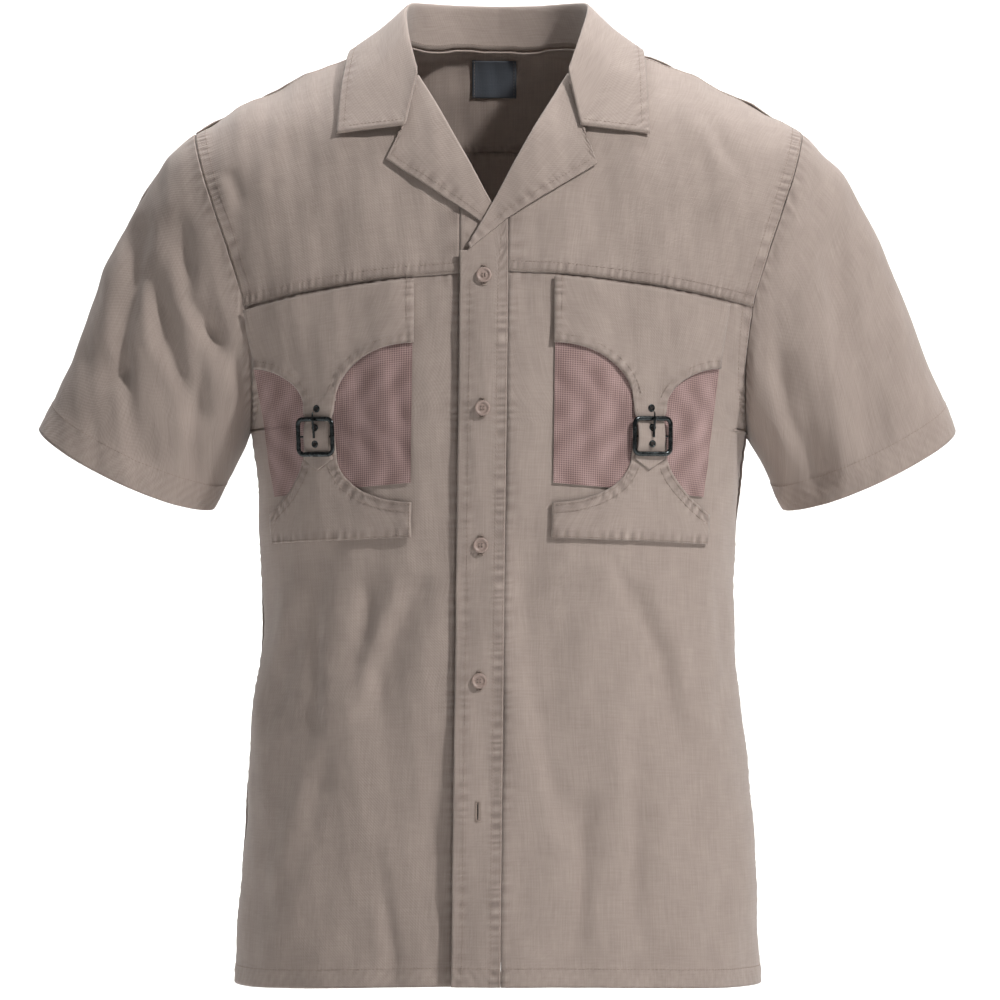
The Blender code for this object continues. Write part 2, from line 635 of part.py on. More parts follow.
def build_lapel(hand, material):
    """Turned back front: half a round fold along the roll line, then a flap that lies on the yoke."""
    _, gorge_x, gorge_z, tip_x, tip_z, low_x, low_z = next(row for row in LAPELS if row[0] == hand)
    along = np.array([0.02, 0.12, 0.24, 0.36, 0.48, 0.60, 0.72, 0.84, 0.93, 0.992])
    roll_x, roll_z = roll_point(hand, along)
    _, top_x, top_z, break_x, break_z = roll_row(hand)
    knots = np.array([0.0, 0.30, 0.72, 1.0])
    edge_x = np.interp(along, knots, [break_x, low_x, tip_x, gorge_x])
    edge_z = np.interp(along, knots, [break_z - 0.001, low_z, tip_z, gorge_z])
    length = math.hypot(top_x - break_x, top_z - break_z)
    inward = np.array([-hand * (top_z - break_z) / length, 0.0, hand * (top_x - break_x) / length])
    inward = inward if inward[0] * hand < 0 else -inward
    radius = LAPEL_START_FOLD + (LAPEL_FOLD - LAPEL_START_FOLD) * ease(along, 0.25, 0.50)
    base = lay(hand, roll_x, roll_z, 0.0)
    normal = (lay(hand, roll_x, roll_z, 0.001) - base) / 0.001
    faces = []
    for depth in (0.0, CLOTH):
        rings = []
        for angle in np.radians([-90, -45, 0, 45, 90]):
            rim = radius - depth
            height = radius - CLOTH + rim * math.sin(angle)
            reach = rim * math.cos(angle)
            rings.append(base + normal * height[:, None] + inward * reach[:, None])
        crown = 2 * radius - CLOTH - depth
        rest = 2 * LAPEL_START_FOLD - CLOTH
        rest = rest + (LAPEL_LIE + CLOTH - rest) * ease(along, 0.25, 0.50) - depth
        for share in (0.2, 0.4, 0.6, 0.8, 1.0):
            x = roll_x + (edge_x - roll_x) * share
            z = roll_z + (edge_z - roll_z) * share
            lie = crown + (rest - crown) * share
            rings.append(lay(hand, x, z, lie))
        faces.append(np.stack(rings, axis=1))
    wall("lapel_left" if hand == LEFT else "lapel_right", faces[0], faces[1], material)


def collar_section(seam, roll, leaf, edge, count):
    """Section of the collar: up the stand, round the fold (a curve pulled to the roll point), down the leaf."""
    stand = roll + (seam - roll) * 0.30
    fall = roll + (leaf - roll) * 0.28
    points = []
    for share in np.linspace(0.0, 1.0, 3)[:-1]:
        points.append(seam + (stand - seam) * share)
    for share in np.linspace(0.0, 1.0, 5):
        points.append(stand * (1 - share) ** 2 + roll * 2 * share * (1 - share) + fall * share ** 2)
    for share in np.linspace(0.0, 1.0, 3)[1:]:
        points.append(fall + (leaf - fall) * share)
    for share in np.linspace(0.0, 1.0, 4)[1:]:
        points.append(leaf + (edge - leaf) * share)
    return np.stack(points, axis=count)


def grid_normal(points):
    """Direction square to a grid of points, from the steps along both ways."""
    down = np.gradient(points, axis=0)
    along = np.gradient(points, axis=1)
    normal = np.cross(down, along)
    return normal / np.linalg.norm(normal, axis=-1, keepdims=True)


def neck_seam(steps):
    """Line just above the neck seam: round the back to the shoulder seams, then on to the roll lines."""
    points = []
    for step in steps:
        hand = LEFT if step > 0 else RIGHT
        if abs(step) <= COLLAR_SHOULDER:
            face = BACK
            x = hand * NECK_HALF * math.sin(abs(step) / COLLAR_SHOULDER * math.pi / 2)
            depth = neck_round(x)
        else:
            face = FRONT
            share = (abs(step) - COLLAR_SHOULDER) / (COLLAR_END - COLLAR_SHOULDER)
            x, depth = neck_plan(hand, share * COLLAR_FRONT_REACH)
        x = np.array([x])
        row = depth_row(face, x, depth)
        rise = COLLAR_RISE + (COLLAR_END_RISE - COLLAR_RISE) * ease(abs(step), COLLAR_SHOULDER, COLLAR_END)
        points.append(cloth_point(face, across_share(face, x, row), row, rise, hand if face == FRONT else 0)[0])
    return np.array(points)


def build_collar(material):
    """One folded sheet round the neck, lower at the front ends, where it meets the lapels."""
    steps = np.linspace(-COLLAR_END, COLLAR_END, COLLAR_COLUMN_COUNT)
    places = np.arange(len(COLLAR))
    points = {}
    for name in COLLAR_COLUMNS:
        points[name] = through(places, column(COLLAR, COLLAR_COLUMNS, name), np.abs(steps))
    sets = [neck_seam(steps)]
    for part in ("roll", "leaf", "edge"):
        x = points[part + "_x"] * np.sign(steps) + COLLAR_LEAN * ease(np.abs(steps), 3.0, COLLAR_END)
        sets.append(np.stack((x, points[part + "_y"], points[part + "_z"]), axis=-1))
    outer = collar_section(*sets, 1)
    inner = outer - grid_normal(outer) * COLLAR_CLOTH
    wall("collar", outer, inner, material)


def sleeve_surface(hand, face, share, down):
    """Sleeve from the armhole to the cuff: a curve that leaves along the body and ends along the arm."""
    row = 1.0 + share
    edge = body(face, hand * np.ones(share.shape), row)
    step = body(face, hand * (np.ones(share.shape) - 0.01), row)
    away = edge - step
    away = away / np.linalg.norm(away, axis=-1, keepdims=True)
    axis = np.array([hand * math.sin(SLEEVE_TILT), 0.0, -math.cos(SLEEVE_TILT)])
    outward = np.array([hand * math.cos(SLEEVE_TILT), 0.0, math.sin(SLEEVE_TILT)])
    cap = (CAP_LEAN * ease(share, 0.35, 1.0))[..., None]
    leave = away * cap + axis * (1 - cap)
    leave = leave / np.linalg.norm(leave, axis=-1, keepdims=True)
    angle = np.pi * share if face == FRONT else -np.pi * share
    centre = np.array([hand * CUFF_CENTRE_X, 0.0, CUFF_CENTRE_Z])
    front = np.clip(np.sin(angle), 0.0, None) * CUFF_FRONT_DROP
    back = np.clip(-np.sin(angle), 0.0, None) * CUFF_BACK_RISE
    cuff = (centre - outward * (CUFF_HALF_WIDTH * np.cos(angle))[..., None]
            - np.array([0.0, 1.0, 0.0]) * (CUFF_HALF_DEPTH * np.sin(angle))[..., None]
            + axis * (front - back)[..., None])
    start = edge + leave * SLEEVE_START + np.array([hand * SEAM_GAP, 0.0, 0.0])
    length = np.linalg.norm(cuff - start, axis=-1, keepdims=True)
    start_part = (1 + 2 * down) * (1 - down) ** 2
    cuff_part = down * down * (3 - 2 * down)
    leave_part = LEAVE_PULL * down * (1 - down) ** 2
    arrive_part = -ARRIVE_PULL * down * down * (1 - down)
    return start * start_part + cuff * cuff_part + leave * length * leave_part + axis * length * arrive_part


def build_sleeve(hand, material):
    """Short sleeve as a tube wall, with its seams at the armhole and under the arm."""
    front_share = np.array([0.0, 0.08, 0.16, 0.25, 0.34, 0.4375, 0.52, 0.60, 0.68, 0.76, 0.84, 0.92])
    back_share = np.array([1.0, 0.92, 0.84, 0.76, 0.68, 0.60, 0.52, 0.4375, 0.34, 0.25, 0.16, 0.08])
    rings = []
    ways_down = np.linspace(0.0, 1.0, SLEEVE_RINGS)
    for down in ways_down:
        u = 0.6 * down + 0.4 * down * down
        front = sleeve_surface(hand, FRONT, front_share, u)
        back = sleeve_surface(hand, BACK, back_share, u)
        rings.append(np.concatenate((front, back)))
    middle = np.stack(rings)
    wrapped = np.concatenate((middle[:, -1:], middle, middle[:, :1]), axis=1)
    normal = grid_normal(wrapped)[:, 1:-1]
    centre = middle.mean(axis=1, keepdims=True)
    sign = np.sign(np.sum(normal * (middle - centre), axis=-1).mean())
    normal = normal * sign
    facing = ease(-normal[..., 1], -0.1, 0.5) * ease(ways_down, 0.0, 0.2)[:, None]
    shift = fold_shift(SLEEVE_FOLDS, hand, middle[..., 0], middle[..., 2]) * facing
    outer = middle + normal * shift[..., None]
    inner = outer - normal * CLOTH
    wall("sleeve_left" if hand == LEFT else "sleeve_right", outer, inner, material, ring=True)


def arc_place(hand, distance, z):
    """Sideways place whose distance from the closure, along the cloth of its row, is as given."""
    distance, z = np.broadcast_arrays(np.asarray(distance, dtype=float), np.asarray(z, dtype=float))
    x = closure(z) + hand * distance * 0.93
    steps = np.linspace(0.0, 1.0, 15)
    for _ in range(12):
        row = row_at(FRONT, x, z)
        start = across_share(FRONT, closure(z), row)
        end = across_share(FRONT, x, row)
        across = start[..., None] + (end - start)[..., None] * steps
        points = body(FRONT, across, row[..., None] + 0 * across)
        lengths = np.linalg.norm(np.diff(points, axis=-2), axis=-1)
        slope = np.abs(points[..., -1, 0] - points[..., -2, 0]) / lengths[..., -1]
        x = x + hand * (distance - lengths.sum(axis=-1)) * slope
    return x


def yoke_seam_z(x):
    """Height of the front just below the yoke seam."""
    side_x, _, side_z, _, centre_z, _, droop = row_shape(FRONT, np.full(np.shape(x), 1 + FRONT_YOKE_SHARE - 0.006))
    return centre_z + (side_z - centre_z) * (np.abs(x) / side_x) ** droop


def build_flap(hand, material):
    """Pocket flap: two hollow arcs, and between them the strap that goes through the buckle."""
    turn = np.linspace(0.0, np.pi / 2, 8)
    strap_left = STRAP_MIDDLE - STRAP_HALF
    strap_right = STRAP_MIDDLE + STRAP_HALF
    in_d = POCKET_IN + (strap_left - POCKET_IN) * np.sin(turn)
    in_z = STRAP_TOP_Z + (FLAP_IN_LOW_Z - STRAP_TOP_Z) * np.cos(turn)
    out_d = FLAP_OUT_LOW - (FLAP_OUT_LOW - strap_right) * np.sin(turn[::-1])
    out_z = STRAP_TOP_Z + (FLAP_OUT_LOW_Z - STRAP_TOP_Z) * np.cos(turn[::-1])
    strap_share = np.linspace(-1.0, 1.0, 5)
    low_d = np.concatenate((in_d[:-1], STRAP_MIDDLE + STRAP_HALF * strap_share, out_d[1:]))
    low_z = np.concatenate((in_z[:-1], np.full(5, STRAP_TOP_Z), out_z[1:]))
    top_d = low_d.copy()
    top_d[-1] = FLAP_OUT_TOP
    low_x = arc_place(hand, low_d, low_z)
    top_x = arc_place(hand, top_d, np.full(top_d.shape, -0.185))
    top_z = yoke_seam_z(top_x)
    down = np.linspace(0.0, 1.0, 7)[:, None]
    x = top_x + (low_x - top_x) * down
    z = top_z + (low_z - top_z) * down
    strap_z = np.linspace(STRAP_TOP_Z, STRAP_SHOULDER_Z, 13)[1:]
    half = read(STRAP, STRAP_COLUMNS, "half", strap_z)
    first = len(in_d) - 1
    last = first + 4
    extra_x = np.repeat(x[-1:], len(strap_z) + 1, axis=0)
    extra_z = np.repeat(z[-1:], len(strap_z) + 1, axis=0)
    for place, (height, width) in enumerate(zip(strap_z, half)):
        extra_z[place, first:last + 1] = height
        extra_x[place, first:last + 1] = arc_place(hand, STRAP_MIDDLE + width * strap_share, np.full(5, height))
    tip_z = STRAP_TIP_Z + (STRAP_SHOULDER_Z - STRAP_TIP_Z) * np.abs(strap_share) * 0.9
    extra_z[-1, first:last + 1] = tip_z
    extra_x[-1, first:last + 1] = arc_place(hand, STRAP_MIDDLE + half[-1] * 0.85 * strap_share, tip_z)
    x = np.concatenate((x, extra_x))
    z = np.concatenate((z, extra_z))
    active = np.ones((x.shape[0] - 1, x.shape[1] - 1), dtype=bool)
    active[6:, :first] = False
    active[6:, last:] = False
    out = np.full(x.shape, PATCH_OUTER)
    out[:, first:last + 1] = read(STRAP, STRAP_COLUMNS, "outer", z[:, first:last + 1])
    outer = lay(hand, x, z, out)
    inner = lay(hand, x, z, out - PATCH_CLOTH)
    side = "left" if hand == LEFT else "right"
    wall("pocket_flap_" + side, outer, inner, material, active=active)


def build_base(hand, material):
    """Panel under the pocket: two arcs that rise to the tongue behind the buckle."""
    turn = np.linspace(0.0, np.pi / 2, 7)
    tongue_left = STRAP_MIDDLE - TONGUE_HALF
    tongue_right = STRAP_MIDDLE + TONGUE_HALF
    in_d = POCKET_IN + (tongue_left - POCKET_IN) * np.sin(turn)
    in_z = TONGUE_FOOT_Z + (BASE_IN_TOP_Z - TONGUE_FOOT_Z) * np.cos(turn)
    share = np.linspace(0.0, 1.0, 6)
    pull_d = tongue_right + 0.0050
    pull_z = TONGUE_FOOT_Z - 0.0240
    out_d = tongue_right * (1 - share) ** 2 + pull_d * 2 * share * (1 - share) + BASE_OUT_TOP * share ** 2
    out_z = TONGUE_FOOT_Z * (1 - share) ** 2 + pull_z * 2 * share * (1 - share) + BASE_OUT_TOP_Z * share ** 2
    tongue_share = np.linspace(-1.0, 1.0, 4)
    high_d = np.concatenate((in_d[:-1], STRAP_MIDDLE + TONGUE_HALF * tongue_share, out_d[1:]))
    high_z = np.concatenate((in_z[:-1], np.full(4, TONGUE_FOOT_Z), out_z[1:]))
    low_d = high_d.copy()
    low_d[-1] = BASE_OUT_LOW
    low_z = BASE_IN_LOW_Z + (BASE_OUT_LOW_Z - BASE_IN_LOW_Z) * (low_d - POCKET_IN) / (BASE_OUT_LOW - POCKET_IN)
    high_x = arc_place(hand, high_d, high_z)
    low_x = arc_place(hand, low_d, low_z)
    up = np.linspace(0.0, 1.0, 6)[:, None]
    x = low_x + (high_x - low_x) * up
    z = low_z + (high_z - low_z) * up
    first = len(in_d) - 1
    last = first + 3
    tongue_z = np.linspace(TONGUE_FOOT_Z, TONGUE_TOP_Z, 4)[1:]
    extra_x = np.repeat(x[-1:], len(tongue_z), axis=0)
    extra_z = np.repeat(z[-1:], len(tongue_z), axis=0)
    for place, height in enumerate(tongue_z):
        half = TONGUE_HALF - 0.0025 * (place + 1) / len(tongue_z)
        extra_z[place, first:last + 1] = height
        extra_x[place, first:last + 1] = arc_place(hand, STRAP_MIDDLE + half * tongue_share, np.full(4, height))
    x = np.concatenate((x, extra_x))
    z = np.concatenate((z, extra_z))
    active = np.ones((x.shape[0] - 1, x.shape[1] - 1), dtype=bool)
    active[5:, :first] = False
    active[5:, last:] = False
    outer = lay(hand, x, z, PATCH_OUTER)
    inner = lay(hand, x, z, PATCH_OUTER - PATCH_CLOTH)
    side = "left" if hand == LEFT else "right"
    wall("pocket_base_" + side, outer, inner, material, active=active)


def build_mesh_pocket(hand, material):
    """Patch pocket of mesh that lies straight on the front, under the flap and the base."""
    share = np.linspace(0.0, 1.0, 11)
    top_d = MESH_IN + (MESH_OUT_TOP - MESH_IN) * share
    low_d = MESH_IN + (MESH_OUT_LOW - MESH_IN) * share
    low_z = MESH_IN_LOW_Z + (MESH_OUT_LOW_Z - MESH_IN_LOW_Z) * share
    top_x = arc_place(hand, top_d, np.full(top_d.shape, MESH_TOP_Z))
    low_x = arc_place(hand, low_d, low_z)
    top_z = yoke_seam_z(top_x) - (yoke_seam_z(np.array([0.0]))[0] - MESH_TOP_Z)
    down = np.linspace(0.0, 1.0, 8)[:, None]
    x = top_x + (low_x - top_x) * down
    z = top_z + (low_z - top_z) * down
    outer = lay(hand, x, z, MESH_OUTER)
    inner = lay(hand, x, z, MESH_OUTER - MESH_CLOTH)
    wall("pocket_mesh_" + ("left" if hand == LEFT else "right"), outer, inner, material)


def tube_points(path, radius, sides, closed):
    """Rings of points round a path, each square to it."""
    path = np.asarray(path, dtype=float)
    if closed:
        along = np.roll(path, -1, axis=0) - np.roll(path, 1, axis=0)
    else:
        along = np.gradient(path, axis=0)
    along = along / np.linalg.norm(along, axis=1, keepdims=True)
    guide = np.array([0.13, -0.97, 0.21])
    first = np.cross(along, guide)
    first = first / np.linalg.norm(first, axis=1, keepdims=True)
    second = np.cross(along, first)
    angle = np.linspace(0.0, 2 * np.pi, sides, endpoint=False)[None, :, None]
    return path[:, None] + radius * (first[:, None] * np.cos(angle) + second[:, None] * np.sin(angle))


def tube(name, path, radius, sides, material, closed=False):
    """Round bar along a path, with flat ends or joined into a frame."""
    rings = tube_points(path, radius, sides, closed)
    count = len(rings)
    faces = []
    for i in range(count if closed else count - 1):
        for j in range(sides):
            a = i * sides + j
            b = i * sides + (j + 1) % sides
            c = ((i + 1) % count) * sides + (j + 1) % sides
            d = ((i + 1) % count) * sides + j
            faces.append((a, b, c, d))
    if not closed:
        faces.append(tuple(range(sides))[::-1])
        faces.append(tuple(range((count - 1) * sides, count * sides)))
    return finish(name, rings.reshape(-1, 3), faces, material)


def buckle_frame_axes(hand):
    """Middle of the buckle on the front, and the directions across, up and out of it."""
    x = arc_place(hand, np.array([BUCKLE_MIDDLE]), np.array([BUCKLE_Z]))
    z = np.array([BUCKLE_Z])
    middle = lay(hand, x, z, 0.0)[0]
    across = lay(hand, x + 0.002, z, 0.0)[0] - lay(hand, x - 0.002, z, 0.0)[0]
    across = across / np.linalg.norm(across)
    up = lay(hand, x, z + 0.002, 0.0)[0] - lay(hand, x, z - 0.002, 0.0)[0]
    up = up - across * np.dot(up, across)
    up = up / np.linalg.norm(up)
    return middle, across, up, np.cross(across, up)


def build_buckle(hand, material):
    """Rounded frame with a middle bar joined to it, and a prong from that bar over the top bar."""
    side = "left" if hand == LEFT else "right"
    middle, across, up, out = buckle_frame_axes(hand)
    path = []
    for corner_x, corner_y, start in ((1, 1, 0), (-1, 1, 90), (-1, -1, 180), (1, -1, 270)):
        for step in range(5):
            angle = math.radians(start + step * 22.5)
            x = corner_x * (BUCKLE_HALF_WIDTH - BUCKLE_CORNER) + BUCKLE_CORNER * math.cos(angle)
            y = corner_y * (BUCKLE_HALF_HEIGHT - BUCKLE_CORNER) + BUCKLE_CORNER * math.sin(angle)
            path.append(middle + across * x + up * y + out * BUCKLE_STAND)
    frame = tube("buckle_frame_" + side, path, BUCKLE_BAR, 8, material, closed=True)
    bar_path = []
    for x, stand in ((-1.0, BUCKLE_STAND), (-0.93, 0.0052), (-0.84, MIDDLE_BAR_STAND),
                     (0.84, MIDDLE_BAR_STAND), (0.93, 0.0052), (1.0, BUCKLE_STAND)):
        bar_path.append(middle + across * x * BUCKLE_HALF_WIDTH + out * stand)
    bar = tube("buckle_bar_" + side, bar_path, MIDDLE_BAR, 8, material)
    bar.hide_render = True
    bar.display_type = "WIRE"
    join = frame.modifiers.new("middle_bar", "BOOLEAN")
    join.operation = "UNION"
    join.object = bar
    prong_path = [middle + up * height + out * stand for height, stand in PRONG]
    tube("buckle_prong_" + side, prong_path, PRONG_BAR, 8, material)


def turned(name, centre, normal, profile, sides, material):
    """Solid turned round an axis: a ring of points for each profile point, closed at both poles."""
    normal = normal / np.linalg.norm(normal)
    first = np.cross(normal, np.array([0.0, 0.0, 1.0]))
    first = first / np.linalg.norm(first)
    second = np.cross(normal, first)
    points = [centre + normal * profile[0][1]]
    for radius, height in profile[1:-1]:
        for step in range(sides):
            angle = 2 * math.pi * step / sides
            points.append(centre + normal * height + radius * (first * math.cos(angle) + second * math.sin(angle)))
    points.append(centre + normal * profile[-1][1])
    rings = len(profile) - 2
    faces = []
    for j in range(sides):
        after = (j + 1) % sides
        faces.append((0, 1 + after, 1 + j))
        for ring in range(rings - 1):
            a = 1 + ring * sides
            faces.append((a + j, a + after, a + sides + after, a + sides + j))
        last = 1 + (rings - 1) * sides
        faces.append((last + j, last + after, len(points) - 1))
    return finish(name, points, faces, material)


def build_buttons(material):
    """Four fastened buttons on the placket, and one on the under placket behind its buttonhole."""
    for number, height in enumerate(BUTTON_HEIGHTS, start=1):
        place_button("button_%d" % number, LEFT, height, SEAM_GAP, material)
    place_button("button_5", RIGHT, UNDER_BUTTON_HEIGHT, SEAM_GAP, material)


def place_button(name, hand, height, out, material):
    """One button, square to the cloth under it."""
    z = np.array([height])
    x = closure(z)
    base = lay(hand, x, z, out)[0]
    normal = lay(hand, x, z, out + 0.01)[0] - base
    turned(name, base, normal, BUTTON_PROFILE, BUTTON_SIDES, material)


def build_label(material):
    """Blank label inside the back neck."""
    x, z = np.meshgrid(LABEL_MIDDLE + LABEL_HALF * np.linspace(-1, 1, 4), np.linspace(LABEL_TOP_Z, LABEL_LOW_Z, 4))
    near = -CLOTH - 2.5 * SEAM_GAP
    wall("neck_label", lay_back(x, z, near), lay_back(x, z, near - LABEL_CLOTH), material)


def main():
    """Build every piece of the shirt."""
    wipe_scene()
    twill = fabric("cotton_twill", (0.40, 0.32, 0.28), 0.9)
    mesh = fabric("pocket_mesh", (0.28, 0.20, 0.20), 0.9)
    metal = fabric("black_nickel", (0.03, 0.03, 0.035), 0.3, 1.0)
    resin = fabric("resin_button", (0.33, 0.24, 0.21), 0.45)
    label = fabric("woven_label", (0.08, 0.09, 0.11), 0.8)
    for hand in (LEFT, RIGHT):
        build_front_panel(hand, twill)
        build_front_yoke(hand, twill)
        build_placket(hand, twill)
        build_lapel(hand, twill)
        build_sleeve(hand, twill)
        build_mesh_pocket(hand, mesh)
        build_flap(hand, twill)
        build_base(hand, twill)
        build_buckle(hand, metal)
    build_back(twill, twill)
    build_collar(twill)
    build_buttons(resin)
    build_label(label)


main()
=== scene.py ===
"""Looks of the utility shirt: each cloth piece as a thin shell on its solid's form, with its finer folds,
seams, stitches and weave, and the studio that it is seen in."""
import math

import bmesh
import bpy
import numpy as np
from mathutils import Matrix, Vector


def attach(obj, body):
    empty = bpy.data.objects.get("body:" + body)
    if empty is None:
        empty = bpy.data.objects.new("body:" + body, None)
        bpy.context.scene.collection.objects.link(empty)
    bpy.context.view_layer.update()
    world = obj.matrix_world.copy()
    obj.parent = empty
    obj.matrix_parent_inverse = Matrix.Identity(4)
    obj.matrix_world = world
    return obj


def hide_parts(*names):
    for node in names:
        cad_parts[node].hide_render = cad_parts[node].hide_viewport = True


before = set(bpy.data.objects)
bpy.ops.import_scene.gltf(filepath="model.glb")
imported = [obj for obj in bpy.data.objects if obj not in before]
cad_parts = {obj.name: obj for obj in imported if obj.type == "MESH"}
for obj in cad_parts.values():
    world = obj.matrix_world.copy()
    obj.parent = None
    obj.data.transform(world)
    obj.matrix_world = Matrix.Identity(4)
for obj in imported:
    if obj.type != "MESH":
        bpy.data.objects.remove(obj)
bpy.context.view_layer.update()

# Driving sizes
CLOTH = 0.0013
PLACKET_CLOTH = 0.0016
COLLAR_CLOTH = 0.0016
SEAM_GAP = 0.0003
HALF_GAP = SEAM_GAP / 2
HEM_HEIGHT = -0.7176
UNDERARM_HEIGHT = -0.2900
SHOULDER_HEIGHT = -0.0580
ARMHOLE_FRONT = 0.0780
ARMHOLE_BACK = 0.0820
SHOULDER_DROOP = 1.75
ROW_DROOP = 2.0
FRONT = -1
BACK = 1
LEFT = 1
RIGHT = -1

# Lower body, hem to underarm: half width, rise of the front centre, depth of front and back
BODY_COLUMNS = ("height", "half_width", "front_rise", "front_depth", "back_depth")
BODY = (
    (-0.7176, 0.2045, 0.0120, 0.1400, 0.1200),
    (-0.6550, 0.2015, 0.0080, 0.1370, 0.1170),
    (-0.5770, 0.1962, 0.0060, 0.1320, 0.1130),
    (-0.5300, 0.1930, 0.0055, 0.1300, 0.1120),
    (-0.4990, 0.1895, 0.0050, 0.1290, 0.1120),
    (-0.4680, 0.1855, 0.0050, 0.1285, 0.1130),
    (-0.4210, 0.1842, 0.0050, 0.1285, 0.1150),
    (-0.3800, 0.1858, 0.0050, 0.1300, 0.1180),
    (-0.3300, 0.1885, 0.0050, 0.1320, 0.1220),
    (-0.2900, 0.1935, 0.0050, 0.1320, 0.1250),
)

# Upper body from the underarm (0) to the shoulder seam (1), along the armhole
CHEST_COLUMNS = ("share", "height", "depth", "turn", "half_width")
CHEST_FRONT = (
    (0.00, -0.2850, 0.1320, 90.0, 0.1935),
    (0.10, -0.2720, 0.1320, 79.5, 0.1915),
    (0.20, -0.2520, 0.1310, 69.5, 0.1895),
    (0.30, -0.2220, 0.1290, 61.0, 0.1890),
    (0.44, -0.1720, 0.1240, 53.0, 0.1935),
    (0.55, -0.1350, 0.1160, 49.0, 0.2050),
    (0.65, -0.1000, 0.1070, 46.0, 0.2170),
    (0.75, -0.0660, 0.0940, 43.0, 0.2270),
    (0.85, -0.0340, 0.0740, 40.0, 0.2330),
    (0.93, -0.0060, 0.0450, 38.0, 0.2355),
    (1.00, 0.0260, 0.0000, 36.0, 0.2360),
)
CHEST_BACK = (
    (0.00, -0.2850, 0.1250, 90.0, 0.1935),
    (0.10, -0.2720, 0.1260, 79.5, 0.1915),
    (0.20, -0.2520, 0.1270, 69.5, 0.1900),
    (0.30, -0.2220, 0.1280, 61.0, 0.1905),
    (0.40, -0.1880, 0.1280, 56.0, 0.1940),
    (0.50, -0.1500, 0.1260, 52.0, 0.2010),
    (0.60, -0.1120, 0.1210, 49.0, 0.2110),
    (0.70, -0.0750, 0.1120, 46.0, 0.2210),
    (0.80, -0.0430, 0.1020, 43.0, 0.2290),
    (0.88, -0.0180, 0.0920, 40.0, 0.2335),
    (0.95, 0.0140, 0.0780, 38.0, 0.2355),
    (1.00, 0.0260, 0.0000, 36.0, 0.2360),
)
FRONT_YOKE_SHARE = 0.4375
BACK_YOKE_SHARE = 0.7300

# Closure: line of the buttons, half widths of the plackets and how far the two fronts part
CLOSURE_COLUMNS = ("height", "middle", "over_lift", "under_sink")
CLOSURE = (
    (-0.7176, -0.0168, 0.0060, 0.0060),
    (-0.5755, -0.0153, 0.0036, 0.0034),
    (-0.3768, -0.0131, 0.0024, 0.0020),
    (-0.1757, -0.0108, 0.0030, 0.0024),
    (-0.1100, -0.0106, 0.0030, 0.0024),
    (-0.0500, -0.0105, 0.0016, 0.0010),
)
PLACKET_HALF = 0.0182
LIFT_REACH = 0.085

# Folds of the body cloth, in the front or back view: both ends, depth (minus is a trough), width
BODY_FOLDS = (
    (FRONT, -0.100, -0.412, -0.108, -0.465, -0.0030, 0.012),
    (FRONT, -0.062, -0.412, -0.094, -0.500, -0.0035, 0.012),
    (FRONT, -0.140, -0.390, -0.141, -0.555, -0.0030, 0.014),
    (FRONT, -0.088, -0.630, -0.084, -0.700, -0.0030, 0.012),
    (FRONT, -0.122, -0.500, -0.165, -0.690, 0.0040, 0.022),
    (FRONT, 0.018, -0.376, 0.052, -0.590, -0.0050, 0.020),
    (FRONT, 0.064, -0.575, 0.060, -0.695, -0.0040, 0.012),
    (FRONT, 0.104, -0.420, 0.136, -0.518, -0.0040, 0.013),
    (FRONT, 0.118, -0.410, 0.152, -0.520, 0.0035, 0.014),
    (FRONT, 0.106, -0.515, 0.106, -0.695, -0.0030, 0.015),
    (BACK, -0.120, -0.240, -0.060, -0.460, -0.0050, 0.022),
    (BACK, 0.115, -0.250, 0.070, -0.480, -0.0050, 0.024),
    (BACK, -0.020, -0.400, -0.050, -0.690, -0.0050, 0.024),
    (BACK, 0.055, -0.480, 0.075, -0.700, 0.0050, 0.026),
    (BACK, -0.120, -0.520, -0.135, -0.705, 0.0045, 0.022),
)

# Sleeve: line of the cuff and its round shape
SLEEVE_TILT = math.radians(25.3)
CUFF_CENTRE_X = 0.2894
CUFF_CENTRE_Z = -0.3180
CUFF_HALF_WIDTH = 0.0735
CUFF_HALF_DEPTH = 0.0560
CUFF_FRONT_DROP = 0.0120
CUFF_BACK_RISE = 0.0040
CAP_LEAN = 0.80
SLEEVE_START = 0.0004
LEAVE_PULL = 0.75
ARRIVE_PULL = 0.90
# Folds of the sleeves: side, both ends, depth and width
SLEEVE_FOLDS = (
    (RIGHT, -0.280, -0.136, -0.292, -0.245, -0.0050, 0.012),
    (RIGHT, -0.292, -0.245, -0.276, -0.308, -0.0050, 0.013),
    (RIGHT, -0.269, -0.172, -0.233, -0.274, -0.0045, 0.012),
    (RIGHT, -0.246, -0.136, -0.220, -0.218, -0.0050, 0.012),
    (RIGHT, -0.220, -0.218, -0.196, -0.246, -0.0040, 0.012),
    (LEFT, 0.218, -0.240, 0.244, -0.325, -0.0050, 0.013),
    (LEFT, 0.262, -0.150, 0.285, -0.290, -0.0035, 0.016),
)

# Neck: the seam line, seen from above, and in the front view each roll line: side, top and break
NECK_HALF = 0.0750
NECK_BACK = 0.0750
NECK_RUN = 0.0545
ROLL = (
    (LEFT, 0.0548, -0.0190, -0.0229, -0.1566),
    (RIGHT, -0.0630, -0.0200, 0.0074, -0.1441),
)
# Lapels in the front view: side, gorge, tip and low point
LAPELS = (
    (LEFT, 0.0632, -0.0625, 0.0743, -0.0905, 0.0060, -0.1330),
    (RIGHT, -0.0705, -0.0570, -0.0843, -0.0865, -0.0130, -0.1340),
)
LAPEL_FOLD = 0.0027
LAPEL_LIE = 0.0026
LAPEL_START_FOLD = 0.0017

